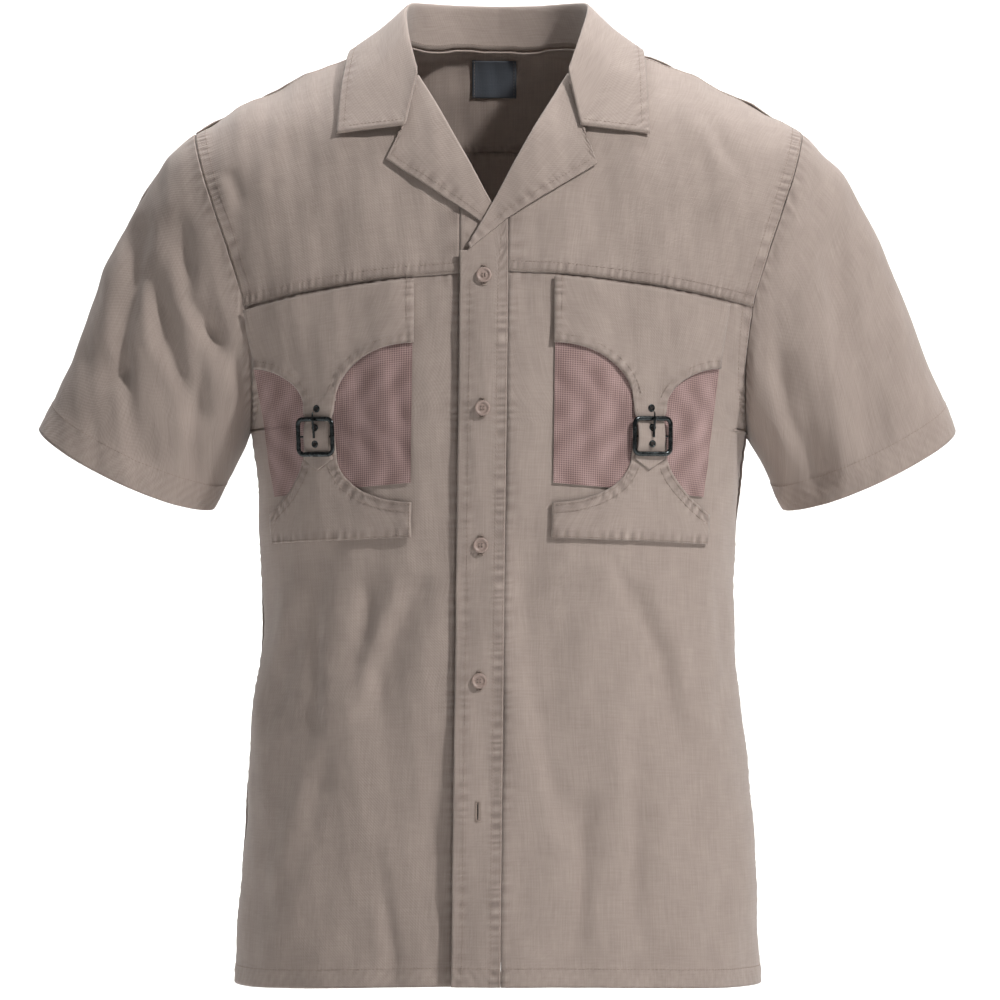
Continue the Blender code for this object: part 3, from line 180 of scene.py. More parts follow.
# Collar, half of it, from the middle of the back to the front end: roll, leaf and edge
COLLAR_COLUMNS = ("roll_x", "roll_y", "roll_z", "leaf_x", "leaf_y", "leaf_z", "edge_x", "edge_y", "edge_z")
COLLAR = (
    (0.0000, 0.0800, 0.0575, 0.0000, 0.1010, 0.0230, 0.0000, 0.1100, -0.0090),
    (0.0310, 0.0735, 0.0575, 0.0420, 0.0950, 0.0220, 0.0490, 0.1040, -0.0090),
    (0.0535, 0.0540, 0.0560, 0.0720, 0.0690, 0.0270, 0.0900, 0.0790, 0.0010),
    (0.0655, 0.0280, 0.0525, 0.0880, 0.0340, 0.0275, 0.1080, 0.0400, 0.0080),
    (0.0685, 0.0000, 0.0430, 0.0915, 0.0000, 0.0240, 0.1135, -0.0010, 0.0080),
    (0.0650, -0.0340, 0.0230, 0.0890, -0.0500, -0.0060, 0.1170, -0.0480, -0.0190),
    (0.0570, -0.0700, -0.0110, 0.0668, -0.0950, -0.0590, 0.1190, -0.0860, -0.0645),
)
COLLAR_END = 6.0
COLLAR_SHOULDER = 4.0
COLLAR_FRONT_REACH = 0.97
COLLAR_LEAN = -0.0040
COLLAR_RISE = 0.0020
COLLAR_END_RISE = 0.0054

# Pocket pieces: distance from the closure along the cloth, and height
POCKET_IN = 0.0525
FLAP_OUT_TOP = 0.1920
FLAP_OUT_LOW = 0.1890
FLAP_IN_LOW_Z = -0.2258
FLAP_OUT_LOW_Z = -0.2435
STRAP_MIDDLE = 0.1285
STRAP_HALF = 0.0138
STRAP_TOP_Z = -0.2730
STRAP_TIP_Z = -0.3205
STRAP_SHOULDER_Z = -0.3125
BASE_IN_TOP_Z = -0.3447
BASE_IN_LOW_Z = -0.3711
BASE_OUT_TOP = 0.1880
BASE_OUT_TOP_Z = -0.3546
BASE_OUT_LOW = 0.1850
BASE_OUT_LOW_Z = -0.3768
TONGUE_HALF = 0.0150
TONGUE_FOOT_Z = -0.3100
TONGUE_TOP_Z = -0.2880
MESH_IN = 0.0535
MESH_OUT_TOP = 0.1880
MESH_OUT_LOW = 0.1820
MESH_TOP_Z = -0.2060
MESH_IN_LOW_Z = -0.3302
MESH_OUT_LOW_Z = -0.3409
MESH_OUTER = 0.0015
PATCH_OUTER = 0.0032
PATCH_CLOTH = 0.0012

# Strap: how far its outer face stands from the front as it passes under and over the buckle's bars
STRAP_COLUMNS = ("height", "outer", "half")
STRAP = (
    (-0.3230, 0.0047, 0.0125),
    (-0.3125, 0.0047, 0.0128),
    (-0.3085, 0.0047, 0.0118),
    (-0.3000, 0.0068, 0.0112),
    (-0.2951, 0.0073, 0.0112),
    (-0.2900, 0.0068, 0.0112),
    (-0.2815, 0.0047, 0.0118),
    (-0.2760, 0.0044, 0.0134),
    (-0.2660, 0.0032, 0.0138),
)

# Buckle: a frame with a middle bar, and its prong
BUCKLE_MIDDLE = 0.1290
BUCKLE_Z = -0.2951
BUCKLE_HALF_WIDTH = 0.0155
BUCKLE_HALF_HEIGHT = 0.0133
BUCKLE_CORNER = 0.0045
BUCKLE_STAND = 0.0068
MIDDLE_BAR = 0.0008
MIDDLE_BAR_STAND = 0.0042
PRONG_BAR = 0.0008
PRONG_COLUMNS = ("up", "stand")
PRONG = (
    (-0.0010, 0.0086),
    (0.0040, 0.0087),
    (0.0090, 0.0093),
    (0.0133, 0.0097),
    (0.0165, 0.0096),
    (0.0185, 0.0090),
)

# Buttons and label
BUTTON_HEIGHTS = (-0.1757, -0.2746, -0.3768, -0.4782)
UNDER_BUTTON_HEIGHT = -0.5755
LABEL_MIDDLE = -0.0035
LABEL_HALF = 0.0178
LABEL_TOP_Z = 0.0095
LABEL_LOW_Z = -0.0195
LABEL_CLOTH = 0.0007

# Sewing: seam allowances that stand proud, stitches, buttonholes and eyelets
HEM_DEPTH = 0.0148
CUFF_DEPTH = 0.0230
HEM_STEP = 0.0004
HEM_ROPE = 0.0003
HEM_ROPE_PERIOD = 0.0085
# Tone of the hem ropes: painted light on their ridges and painted shade in their hollows
HEM_ROPE_SHADING = 0.16
# Pucker heights at which the painted shade and light of the puckers is at full strength
PUCKER_FULL = 0.0006
PATCH_PUCKER_FULL = 0.0005
STITCH_PITCH = 0.0030
STITCH_LONG = 0.0024
STITCH_WIDE = 0.0006
BUTTONHOLE_HALF = 0.0068
FLAP_LIFT = 0.0020
STRAP_UNDER_BUCKLE_Z = -0.2800
EYELET_HEIGHTS = (-0.2739, -0.2885, -0.3007)
EYELET_RADIUS = 0.0022
TUCK = 0.008
FLOOR_Z = -0.80
FLOOR_FRONT = -6.0
FLOOR_HALF = 7.0
SWEEP = 1.2
WALL_TOP = 5.0

# Light
KEY_POWER = 92.0
FILL_POWER = 1.5
TOP_POWER = 3.0
BACKDROP_POWER = 70.0
WORLD_LIGHT = 0.13
WORLD_SEEN = 0.80

# Puckers along the edges of each piece: edge, inset, depth, reach and spacing
PANEL_SEAMS = (("last_row", 0.0020, 0.0005, 0.0060, 0.0075), ("first_column", 0.0015, 0.0003, 0.0050, 0.0080),
               ("last_column", 0.0030, 0.0005, 0.0060, 0.0090))
BACK_SEAMS = (("last_row", 0.0020, 0.0004, 0.0060, 0.0075), ("first_column", 0.0030, 0.0004, 0.0060, 0.0090),
              ("last_column", 0.0030, 0.0004, 0.0060, 0.0090))
YOKE_SEAMS = (("first_row", 0.0048, 0.0006, 0.0042, 0.0047), ("last_column", 0.0050, 0.0006, 0.0050, 0.0055),
              ("first_column", 0.0050, 0.0005, 0.0060, 0.0075))
PLACKET_SEAMS = (
    ("first_column", 0.0072, 0.0003, 0.0040, 0.0080),
    ("last_column", 0.0045, 0.0006, 0.0045, 0.0068),
)
LAPEL_SEAMS = (("last_column", 0.0050, 0.0004, 0.0045, 0.0080), ("last_row", 0.0050, 0.0003, 0.0045, 0.0080))
COLLAR_SEAMS = (
    ("last_column", 0.0052, 0.0004, 0.0050, 0.0080),
    ("first_row", 0.0052, 0.0003, 0.0045, 0.0080),
    ("last_row", 0.0052, 0.0003, 0.0045, 0.0080),
)
SLEEVE_SEAMS = (("first_row", 0.0030, 0.0005, 0.0060, 0.0085),)

# Sharper creases in the front or back view: three points, depth and width
CREASE_RIDGE = 0.55
CREASE_RIDGE_AWAY = 1.7
CREASES = (
    (FRONT, -0.0989, -0.4040, -0.1030, -0.4350, -0.1063, -0.4596, 0.0022, 0.0055),
    (FRONT, -0.0615, -0.4020, -0.0914, -0.4715, -0.0914, -0.5050, 0.0024, 0.0060),
    (FRONT, -0.1384, -0.3850, -0.1400, -0.4700, -0.1384, -0.5506, 0.0018, 0.0065),
    (FRONT, -0.0877, -0.6300, -0.0802, -0.6796, -0.0839, -0.7050, 0.0020, 0.0055),
    (FRONT, -0.1406, -0.4029, -0.1640, -0.4750, -0.1831, -0.5409, 0.0020, 0.0080),
    (FRONT, -0.1190, -0.5014, -0.1436, -0.6006, -0.1682, -0.6744, 0.0024, 0.0085),
    (FRONT, 0.0170, -0.3753, 0.0230, -0.4767, 0.0354, -0.5387, 0.0022, 0.0085),
    (FRONT, 0.0300, -0.5200, 0.0440, -0.5600, 0.0560, -0.6100, 0.0020, 0.0075),
    (FRONT, 0.0630, -0.5730, 0.0653, -0.6100, 0.0578, -0.6950, 0.0022, 0.0050),
    (FRONT, 0.1026, -0.4130, 0.1250, -0.4600, 0.1347, -0.5163, 0.0028, 0.0060),
    (FRONT, 0.0780, -0.3775, 0.0900, -0.3960, 0.1060, -0.4250, 0.0018, 0.0060),
    (FRONT, 0.1033, -0.5100, 0.1045, -0.6000, 0.1033, -0.6871, 0.0020, 0.0070),
    (FRONT, -0.1750, -0.3900, -0.1800, -0.4500, -0.1720, -0.5200, 0.0018, 0.0080),
    (FRONT, -0.0450, -0.5200, -0.0500, -0.5900, -0.0430, -0.6700, 0.0014, 0.0070),
    (FRONT, 0.1700, -0.3950, 0.1740, -0.4700, 0.1650, -0.5500, 0.0018, 0.0080),
    (FRONT, -0.2084, -0.0879, -0.2000, -0.1050, -0.1932, -0.1260, 0.0016, 0.0055),
    (FRONT, 0.1535, -0.0346, 0.1700, -0.0700, 0.1878, -0.1032, 0.0020, 0.0070),
    (FRONT, -0.1500, -0.0500, -0.1650, -0.0900, -0.1780, -0.1300, 0.0014, 0.0075),
    (BACK, -0.1500, -0.2400, -0.1150, -0.3300, -0.0900, -0.4300, 0.0024, 0.0080),
    (BACK, 0.1450, -0.2500, 0.1200, -0.3500, 0.0850, -0.4500, 0.0024, 0.0080),
    (BACK, -0.0300, -0.3900, -0.0450, -0.5200, -0.0400, -0.6600, 0.0020, 0.0080),
    (BACK, 0.0500, -0.4600, 0.0650, -0.5700, 0.0600, -0.6900, 0.0022, 0.0080),
    (BACK, -0.1200, -0.5000, -0.1350, -0.5900, -0.1300, -0.6900, 0.0020, 0.0080),
    (BACK, 0.1350, -0.4400, 0.1500, -0.5300, 0.1420, -0.6400, 0.0018, 0.0075),
    (BACK, -0.0700, -0.1000, -0.0650, -0.1700, -0.0780, -0.2500, 0.0014, 0.0080),
    (BACK, 0.0800, -0.1100, 0.0700, -0.1800, 0.0780, -0.2600, 0.0014, 0.0080),
)
SLEEVE_CREASES = (
    (RIGHT, -0.2773, -0.1250, -0.2910, -0.2200, -0.2734, -0.3079, 0.0026, 0.0065),
    (RIGHT, -0.2665, -0.1650, -0.2581, -0.2189, -0.2313, -0.2742, 0.0024, 0.0060),
    (RIGHT, -0.2435, -0.1376, -0.2380, -0.1900, -0.1970, -0.2465, 0.0024, 0.0060),
    (RIGHT, -0.2228, -0.2212, -0.2313, -0.2887, -0.2351, -0.3478, 0.0022, 0.0065),
    (RIGHT, -0.3080, -0.1500, -0.3180, -0.2100, -0.3200, -0.2700, 0.0016, 0.0075),
    (LEFT, 0.2100, -0.2300, 0.2190, -0.2780, 0.2460, -0.3300, 0.0024, 0.0065),
    (LEFT, 0.2500, -0.1400, 0.2620, -0.2100, 0.2700, -0.2900, 0.0018, 0.0075),
    (LEFT, 0.2780, -0.1300, 0.2930, -0.2000, 0.3080, -0.2750, 0.0016, 0.0075),
)


def column(table, names, name):
    """One named column of a table as an array."""
    place = names.index(name)
    return np.array([row[place] for row in table])


def unit(vectors):
    """Vectors brought to length one."""
    return vectors / np.linalg.norm(vectors, axis=-1, keepdims=True)


def halve(low, high, before):
    """Places between low and high where the test stops being true, by halving."""
    for _ in range(40):
        middle = (low + high) / 2
        still = before(middle)
        low = np.where(still, middle, low)
        high = np.where(still, high, middle)
    return (low + high) / 2


def through(places, values, at):
    """Smooth curve through the values: cubic pieces whose slope is the harmonic mean of the rises."""
    places = np.asarray(places, dtype=float)
    values = np.asarray(values, dtype=float)
    at = np.clip(at, places[0], places[-1])
    step = np.diff(places)
    rise = np.diff(values) / step
    before = rise[:-1]
    after = rise[1:]
    same_way = before * after > 0
    total = np.where(same_way, before + after, 1.0)
    slope = np.concatenate(([rise[0]], np.where(same_way, 2 * before * after / total, 0.0), [rise[-1]]))
    left = np.clip(np.searchsorted(places, at, side="right") - 1, 0, len(step) - 1)
    u = (at - places[left]) / step[left]
    start = values[left] * (1 + 2 * u) * (1 - u) ** 2 + values[left + 1] * u * u * (3 - 2 * u)
    bend = slope[left] * u * (1 - u) ** 2 - slope[left + 1] * u * u * (1 - u)
    return start + bend * step[left]


def read(table, names, name, at):
    """The named column of a table at any place along its first column."""
    return through(column(table, names, names[0]), column(table, names, name), at)


def ease(value, low, high):
    """Zero below low, one above high, and a smooth step between."""
    share = np.clip((value - low) / (high - low), 0.0, 1.0)
    return share * share * (3 - 2 * share)


def row_shape(face, row):
    """Numbers of one level row of the body: 0 is the hem, 1 the underarm, 2 the shoulder seam."""
    low = np.clip(row, 0.0, 1.0)
    share = np.clip(row - 1.0, 0.0, 1.0)
    upper = row > 1.0
    table = CHEST_FRONT if face == FRONT else CHEST_BACK
    reach = ARMHOLE_FRONT if face == FRONT else ARMHOLE_BACK
    low_z = HEM_HEIGHT + low * (UNDERARM_HEIGHT - HEM_HEIGHT)
    rise = read(BODY, BODY_COLUMNS, "front_rise", low_z) if face == FRONT else 0.0050 * low
    depth_name = "front_depth" if face == FRONT else "back_depth"
    middle = (UNDERARM_HEIGHT + SHOULDER_HEIGHT) / 2
    half = (SHOULDER_HEIGHT - UNDERARM_HEIGHT) / 2
    side_x = np.where(upper, read(table, CHEST_COLUMNS, "half_width", share),
                      read(BODY, BODY_COLUMNS, "half_width", low_z))
    side_z = np.where(upper, middle - half * np.cos(np.pi * share), low_z)
    side_y = np.where(upper, face * reach * np.sin(np.pi * share), 0.0)
    centre_z = np.where(upper, read(table, CHEST_COLUMNS, "height", share), low_z + rise)
    centre_y = face * np.where(upper, read(table, CHEST_COLUMNS, "depth", share),
                               read(BODY, BODY_COLUMNS, depth_name, low_z))
    turn = np.radians(np.where(upper, read(table, CHEST_COLUMNS, "turn", share), 90.0))
    droop = ROW_DROOP + (SHOULDER_DROOP - ROW_DROOP) * share
    return side_x, side_y, side_z, centre_y, centre_z, turn, droop


def bare(face, x, row):
    """Body surface at a sideways place x on a row: part of an ellipse from the middle to the side."""
    side_x, side_y, side_z, centre_y, centre_z, turn, droop = row_shape(face, row)
    share = np.clip(np.abs(x) / side_x, 0.0, 1.0)
    angle = np.arcsin(share * np.sin(turn))
    fall = (np.cos(angle) - np.cos(turn)) / (1 - np.cos(turn))
    y = side_y + (centre_y - side_y) * fall
    z = centre_z + (side_z - centre_z) * share ** droop
    return np.stack(np.broadcast_arrays(x, y, z), axis=-1)


def sideways(face, across, row):
    """Sideways place x for a share across the row, -1 to 1, in equal steps of turn."""
    side_x, _, _, _, _, turn, _ = row_shape(face, row)
    return side_x * np.sin(across * turn) / np.sin(turn)


def across_share(face, x, row):
    """Share across the row, -1 to 1, of a sideways place x."""
    side_x, _, _, _, _, turn, _ = row_shape(face, row)
    return np.arcsin(np.clip(x / side_x * np.sin(turn), -1.0, 1.0)) / turn


def body(face, across, row):
    """Body surface at a share across a row."""
    return bare(face, sideways(face, across, row), row)


def body_normal(face, across, row):
    """Outward direction of the body surface, from small steps along both ways."""
    step = 0.004
    low = np.clip(row - step, 0.0, 2.0)
    high = np.clip(row + step, 0.0, 2.0)
    along = body(face, across + step, row) - body(face, across - step, row)
    up = body(face, across, high) - body(face, across, low)
    return unit(np.cross(along, up) * -face)


def row_at(face, x, z):
    """Row on which the body surface has height z at the sideways place x, by halving."""
    x, z = np.broadcast_arrays(np.asarray(x, dtype=float), np.asarray(z, dtype=float))
    return halve(np.zeros(x.shape), np.full(x.shape, 2.0), lambda row: bare(face, x, row)[..., 2] < z)


def distance_to_line(x, z, x0, z0, x1, z1):
    """Distance in the view from a point to a straight stretch."""
    length = (x1 - x0) ** 2 + (z1 - z0) ** 2
    share = np.clip(((x - x0) * (x1 - x0) + (z - z0) * (z1 - z0)) / length, 0.0, 1.0)
    return np.hypot(x - x0 - share * (x1 - x0), z - z0 - share * (z1 - z0))


def fold_shift(table, key, x, z):
    """Sum of soft troughs and ridges, each a bell curve of the distance from its line."""
    shift = np.zeros(np.shape(x))
    for row in table:
        if row[0] != key:
            continue
        away = distance_to_line(x, z, row[1], row[2], row[3], row[4])
        shift = shift + row[5] * np.exp(-(away / row[6]) ** 2)
    return shift


def front_lift(hand, x, z):
    """The button side stands forward near the closure, and the other side sinks behind it."""
    middle = read(CLOSURE, CLOSURE_COLUMNS, "middle", z)
    away = hand * (x - middle) - PLACKET_HALF
    near = 1 - ease(away, 0.0, LIFT_REACH)
    over = read(CLOSURE, CLOSURE_COLUMNS, "over_lift", z)
    under = -read(CLOSURE, CLOSURE_COLUMNS, "under_sink", z)
    return near * (over if hand == LEFT else under)


def closure(z):
    """Sideways place of the button line at a height."""
    return read(CLOSURE, CLOSURE_COLUMNS, "middle", z)


def side_gap():
    """Share that is left free at a side seam for half of the seam's gap."""
    return HALF_GAP / 0.26


def end_row(face, across, limit):
    """Row where a share across the yoke comes as near to the shoulder line as limit(x) says, so that the
    inner face, which leans over by the cloth's thickness, doesn't come nearer."""
    shoulder = np.full(across.shape, 2.0)
    lean = CLOTH * np.abs(body_normal(face, across, shoulder)[..., 1])

    def clear(row):
        """True while the inner face hasn't come as near as the limit."""
        point = body(face, across, row)
        return point[..., 1] * face > limit(point[..., 0]) + lean

    return halve(np.full(across.shape, 1.5), shoulder, clear)


def depth_row(face, x, depth):
    """Row on which the upper body at the sideways place x stands depth from the shoulder line."""
    start = np.full(x.shape, 1.5)
    return halve(start, start + 0.5, lambda row: bare(face, x, row)[..., 1] * face > depth)


def neck_round(x):
    """Depth of the back neck seam at a sideways place, never less than the shoulder seam's half gap."""
    depth = NECK_BACK * np.sqrt(np.clip(1 - (x / NECK_HALF) ** 2, 0.0, 1.0))
    return np.maximum(depth, HALF_GAP)


def neck_plan(hand, share):
    """Front neck seam from above: a quarter of an ellipse from the shoulder (0) to the roll line (1)."""
    top_x = roll_row(hand)[1]
    turn = share * np.pi / 2
    return top_x + (hand * NECK_HALF - top_x) * np.cos(turn), NECK_RUN * np.sin(turn) + HALF_GAP


def roll_row(hand):
    """The row of the roll table for one front."""
    return next(row for row in ROLL if row[0] == hand)


def roll_point(hand, share):
    """Roll line in the front view, from the break (0) to the neck (1)."""
    _, top_x, top_z, break_x, break_z = roll_row(hand)
    return break_x + share * (top_x - break_x), break_z + share * (top_z - break_z)


def grid_normal(points):
    """Direction square to a grid of points, from the steps along both ways."""
    return unit(np.cross(np.gradient(points, axis=0), np.gradient(points, axis=1)))


def sleeve_surface(hand, face, share, down):
    """Sleeve from the armhole to the cuff: a curve that leaves along the body and ends along the arm."""
    row = 1.0 + share
    edge = body(face, hand * np.ones(share.shape), row)
    step = body(face, hand * (np.ones(share.shape) - 0.01), row)
    away = unit(edge - step)
    axis = np.array([hand * math.sin(SLEEVE_TILT), 0.0, -math.cos(SLEEVE_TILT)])
    outward = np.array([hand * math.cos(SLEEVE_TILT), 0.0, math.sin(SLEEVE_TILT)])
    cap = (CAP_LEAN * ease(share, 0.35, 1.0))[..., None]
    leave = unit(away * cap + axis * (1 - cap))
    angle = np.pi * share if face == FRONT else -np.pi * share
    centre = np.array([hand * CUFF_CENTRE_X, 0.0, CUFF_CENTRE_Z])
    front = np.clip(np.sin(angle), 0.0, None) * CUFF_FRONT_DROP
    back = np.clip(-np.sin(angle), 0.0, None) * CUFF_BACK_RISE
    cuff = (centre - outward * (CUFF_HALF_WIDTH * np.cos(angle))[..., None]
            - np.array([0.0, 1.0, 0.0]) * (CUFF_HALF_DEPTH * np.sin(angle))[..., None]
            + axis * (front - back)[..., None])
    start = edge + leave * SLEEVE_START + np.array([hand * SEAM_GAP, 0.0, 0.0])
    length = np.linalg.norm(cuff - start, axis=-1, keepdims=True)
    start_part = (1 + 2 * down) * (1 - down) ** 2
    cuff_part = down * down * (3 - 2 * down)
    leave_part = LEAVE_PULL * down * (1 - down) ** 2
    arrive_part = -ARRIVE_PULL * down * down * (1 - down)
    return start * start_part + cuff * cuff_part + leave * length * leave_part + axis * length * arrive_part


def arc_place(hand, distance, z):
    """Sideways place whose distance from the closure, along the cloth of its row, is as given."""
    distance, z = np.broadcast_arrays(np.asarray(distance, dtype=float), np.asarray(z, dtype=float))
    x = closure(z) + hand * distance * 0.93
    steps = np.linspace(0.0, 1.0, 15)
    for _ in range(12):
        row = row_at(FRONT, x, z)
        start = across_share(FRONT, closure(z), row)
        end = across_share(FRONT, x, row)
        across = start[..., None] + (end - start)[..., None] * steps
        points = body(FRONT, across, row[..., None] + 0 * across)
        lengths = np.linalg.norm(np.diff(points, axis=-2), axis=-1)
        slope = np.abs(points[..., -1, 0] - points[..., -2, 0]) / lengths[..., -1]
        x = x + hand * (distance - lengths.sum(axis=-1)) * slope
    return x


def yoke_seam_z(x):
    """Height of the front just below the yoke seam."""
    row = np.full(np.shape(x), 1 + FRONT_YOKE_SHARE - 0.006)
    side_x, _, side_z, _, centre_z, _, droop = row_shape(FRONT, row)
    return centre_z + (side_z - centre_z) * (np.abs(x) / side_x) ** droop


def crease_shift(table, key, x, z):
    """Sharper folds: a bell curve trough along two straight stretches that fades at both ends, with a
    ridge of about half its depth pushed up on one side, CREASE_RIDGE_AWAY widths away."""
    shift = np.zeros(np.shape(x))
    for row in table:
        if row[0] != key:
            continue
        _, x0, z0, x1, z1, x2, z2, depth, width = row
        best = np.full(np.shape(x), 1e9)
        side = np.zeros(np.shape(x))
        place = np.zeros(np.shape(x))
        for part, (ax, az, bx, bz) in enumerate(((x0, z0, x1, z1), (x1, z1, x2, z2))):
            length = math.hypot(bx - ax, bz - az)
            share = np.clip(((x - ax) * (bx - ax) + (z - az) * (bz - az)) / length ** 2, 0.0, 1.0)
            away = np.hypot(x - ax - share * (bx - ax), z - az - share * (bz - az))
            across = ((x - ax) * (bz - az) - (z - az) * (bx - ax)) / length
            nearer = away < best
            best = np.where(nearer, away, best)
            side = np.where(nearer, np.sign(across), side)
            place = np.where(nearer, (part + share) / 2, place)
        fade = ease(place, 0.0, 0.30) * ease(1 - place, 0.0, 0.35)
        trough = -np.exp(-(best / width) ** 2)
        ridge = CREASE_RIDGE * np.exp(-((side * best - CREASE_RIDGE_AWAY * width) / width) ** 2)
        shift = shift + depth * fade * (trough + ridge)
    return shift


def soft_waves(x, z, phase):
    """Slow unevenness of worn cloth: a sum of sine waves, long down the body and shorter across it."""
    wave = 0.0009 * np.sin(88 * x + 17 * z + phase + 1.2 * np.sin(11 * z + phase))
    wave = wave + 0.0006 * np.sin(163 * x - 31 * z + 2.3 * phase + 0.9 * np.sin(23 * z))
    wave = wave + 0.0003 * np.sin(41 * x + 120 * z + 3.1 * phase)
    return wave + 0.00016 * np.sin(420 * x + 55 * z + phase)


def cloth_point(face, across, row, out, hand=0):
    """Point on the folded cloth, moved out from its surface: the solid's folds, then the finer ones."""
    point = body(face, across, row)
    x = point[..., 0]
    z = point[..., 2]
    shift = out + fold_shift(BODY_FOLDS, face, x, z) + crease_shift(CREASES, face, x, z)
    shift = shift + soft_waves(x, z, 0.7 if face == FRONT else 2.9)
    if hand != 0:
        shift = shift + front_lift(hand, x, z)
    return point + body_normal(face, across, row) * np.asarray(shift)[..., None]


def lay(hand, x, z, out):
    """Point of the front cloth seen at x, z in the front view, moved out."""
    row = row_at(FRONT, x, z)
    return cloth_point(FRONT, across_share(FRONT, x, row), row, out, hand)


def lay_both(hand, x, z, out):
    """Points laid on the front, and the direction out of the cloth at each."""
    near = lay(hand, x, z, out)
    return near, unit(lay(hand, x, z, out + 0.001) - near)


def arcs(grid):
    """Lengths along the cloth from the first column and from the first row, at each point of a grid."""
    along = np.zeros(grid.shape[:2])
    down = np.zeros(grid.shape[:2])
    along[:, 1:] = np.cumsum(np.linalg.norm(np.diff(grid, axis=1), axis=-1), axis=1)
    down[1:] = np.cumsum(np.linalg.norm(np.diff(grid, axis=0), axis=-1), axis=0)
    return along, down


def from_edge(grid, edge):
    """Distance from one edge of a grid along the cloth, and the length along that edge."""
    along, down = arcs(grid)
    if edge == "first_column":
        return along, down
    if edge == "last_column":
        return along[:, -1:] - along, down
    if edge == "first_row":
        return down, along
    return down[-1:] - down, along


def puckers(away, along, inset, depth, reach, period):
    """Cloth drawn in by its sewing: a groove, a bell curve of the distance from the stitch line, crossed by
    ridges whose spacing wanders round the period and whose height comes and goes."""
    turn = 2 * np.pi * along / period
    wave = np.sin(turn + 2.1 * np.sin(turn / 5.3) + 0.8 * np.sin(turn / 2.7 + 1.0))
    strength = 0.65 + 0.35 * np.sin(turn / 9.1 + 2.0)
    return depth * np.exp(-((away - inset) / reach) ** 2) * (wave * strength - 0.35)


def sewn(grid, normal, seams):
    """The grid with its puckers, and their height as a share of PUCKER_FULL, which is painted into the
    cloth's colour as shade in the grooves and light on the ridges.
    """
    shift = np.zeros(grid.shape[:2])
    for edge, inset, depth, reach, period in seams:
        away, along = from_edge(grid, edge)
        shift = shift + puckers(away, along, inset, depth, reach, period)
    return grid + normal * shift[..., None], np.clip(shift / PUCKER_FULL, -1.0, 1.0)


def hem_band(grid, normal, edge, height):
    """Turned hem: the cloth stands out by one more layer up to the hem's height, with slanting ropes whose
    tone is painted light on their ridges and painted shade in their hollows.
    """
    away, along = from_edge(grid, edge)
    band = 1 - ease(away, height - 0.0012, height + 0.0012)
    rope = np.sin(2 * np.pi * (along + 0.7 * away) / HEM_ROPE_PERIOD + 1.5 * np.sin(along * 70))
    shift = band * (HEM_STEP + HEM_ROPE * rope * np.sin(np.pi * np.clip(away / height, 0, 1)))
    return grid + normal * shift[..., None], band * rope * HEM_ROPE_SHADING


def line_at(grid, normal, edge, inset, start=0.0, end=1.0):
    """Points, and directions out of the cloth, of the line that runs inset from an edge of a grid."""
    if edge in ("first_column", "last_column"):
        grid = grid.transpose(1, 0, 2)
        normal = normal.transpose(1, 0, 2)
    if edge in ("last_column", "last_row"):
        grid = grid[::-1]
        normal = normal[::-1]
    first = int(start * (grid.shape[1] - 1))
    last = int(end * (grid.shape[1] - 1)) + 1
    grid = grid[:, first:last]
    normal = normal[:, first:last]
    down = arcs(grid)[1]
    place = np.clip(np.argmax(down >= inset, axis=0), 1, None)
    column_at = np.arange(grid.shape[1])
    low = down[place - 1, column_at]
    share = ((inset - low) / (down[place, column_at] - low))[:, None]
    points = grid[place - 1, column_at] * (1 - share) + grid[place, column_at] * share
    return points, normal[place, column_at]


def hex_colour(code):
    """Linear colour of an sRGB hex value."""
    parts = [int(code[place:place + 2], 16) / 255 for place in (1, 3, 5)]
    linear = [part / 12.92 if part <= 0.04045 else ((part + 0.055) / 1.055) ** 2.4 for part in parts]
    return (*linear, 1.0)


def add(tree, kind, inputs=(), **settings):
    """Add one node with its settings, and give its inputs a value or another node's socket."""
    node = tree.nodes.new(kind)
    for name, value in settings.items():
        setattr(node, name, value)
    for place, value in dict(inputs).items():
        if isinstance(value, bpy.types.NodeSocket):
            tree.links.new(value, node.inputs[place])
        else:
            node.inputs[place].default_value = value
    return node


def new_material(name, **constants):
    """Material with its shader's own values set, and its node tree."""
    material = bpy.data.materials.new(name)
    material.use_nodes = True
    tree = material.node_tree
    shader = tree.nodes["Principled BSDF"]
    for socket, value in constants.items():
        shader.inputs[socket.replace("_", " ")].default_value = value
    return material, tree, shader


def noise(tree, place, scale, detail):
    """Cloudy noise from 0 to 1."""
    return add(tree, "ShaderNodeTexNoise", {"Vector": place, "Scale": scale, "Detail": detail}).outputs[0]


def scaled(tree, place, sizes):
    """Place multiplied by a size each way."""
    return add(tree, "ShaderNodeVectorMath", {0: place, 1: sizes}, operation="MULTIPLY").outputs[0]


def times_plus(tree, value, factor, extra, **settings):
    """Value times factor, plus extra."""
    inputs = {0: value, 1: factor, 2: extra}
    return add(tree, "ShaderNodeMath", inputs, operation="MULTIPLY_ADD", **settings).outputs[0]


def colour_between(tree, shader, share, first, second):
    """Colour of the shader: a mix of two by a share from 0 to 1."""
    inputs = {0: share, 6: hex_colour(first), 7: hex_colour(second)}
    mix = add(tree, "ShaderNodeMix", inputs, data_type="RGBA")
    tree.links.new(mix.outputs[2], shader.inputs["Base Color"])


def bumped(tree, shader, height, strength, distance):
    """Shading as if the surface stood up by the height times the distance."""
    rise = add(tree, "ShaderNodeBump", {"Height": height, "Strength": strength, "Distance": distance})
    tree.links.new(rise.outputs[0], shader.inputs["Normal"])


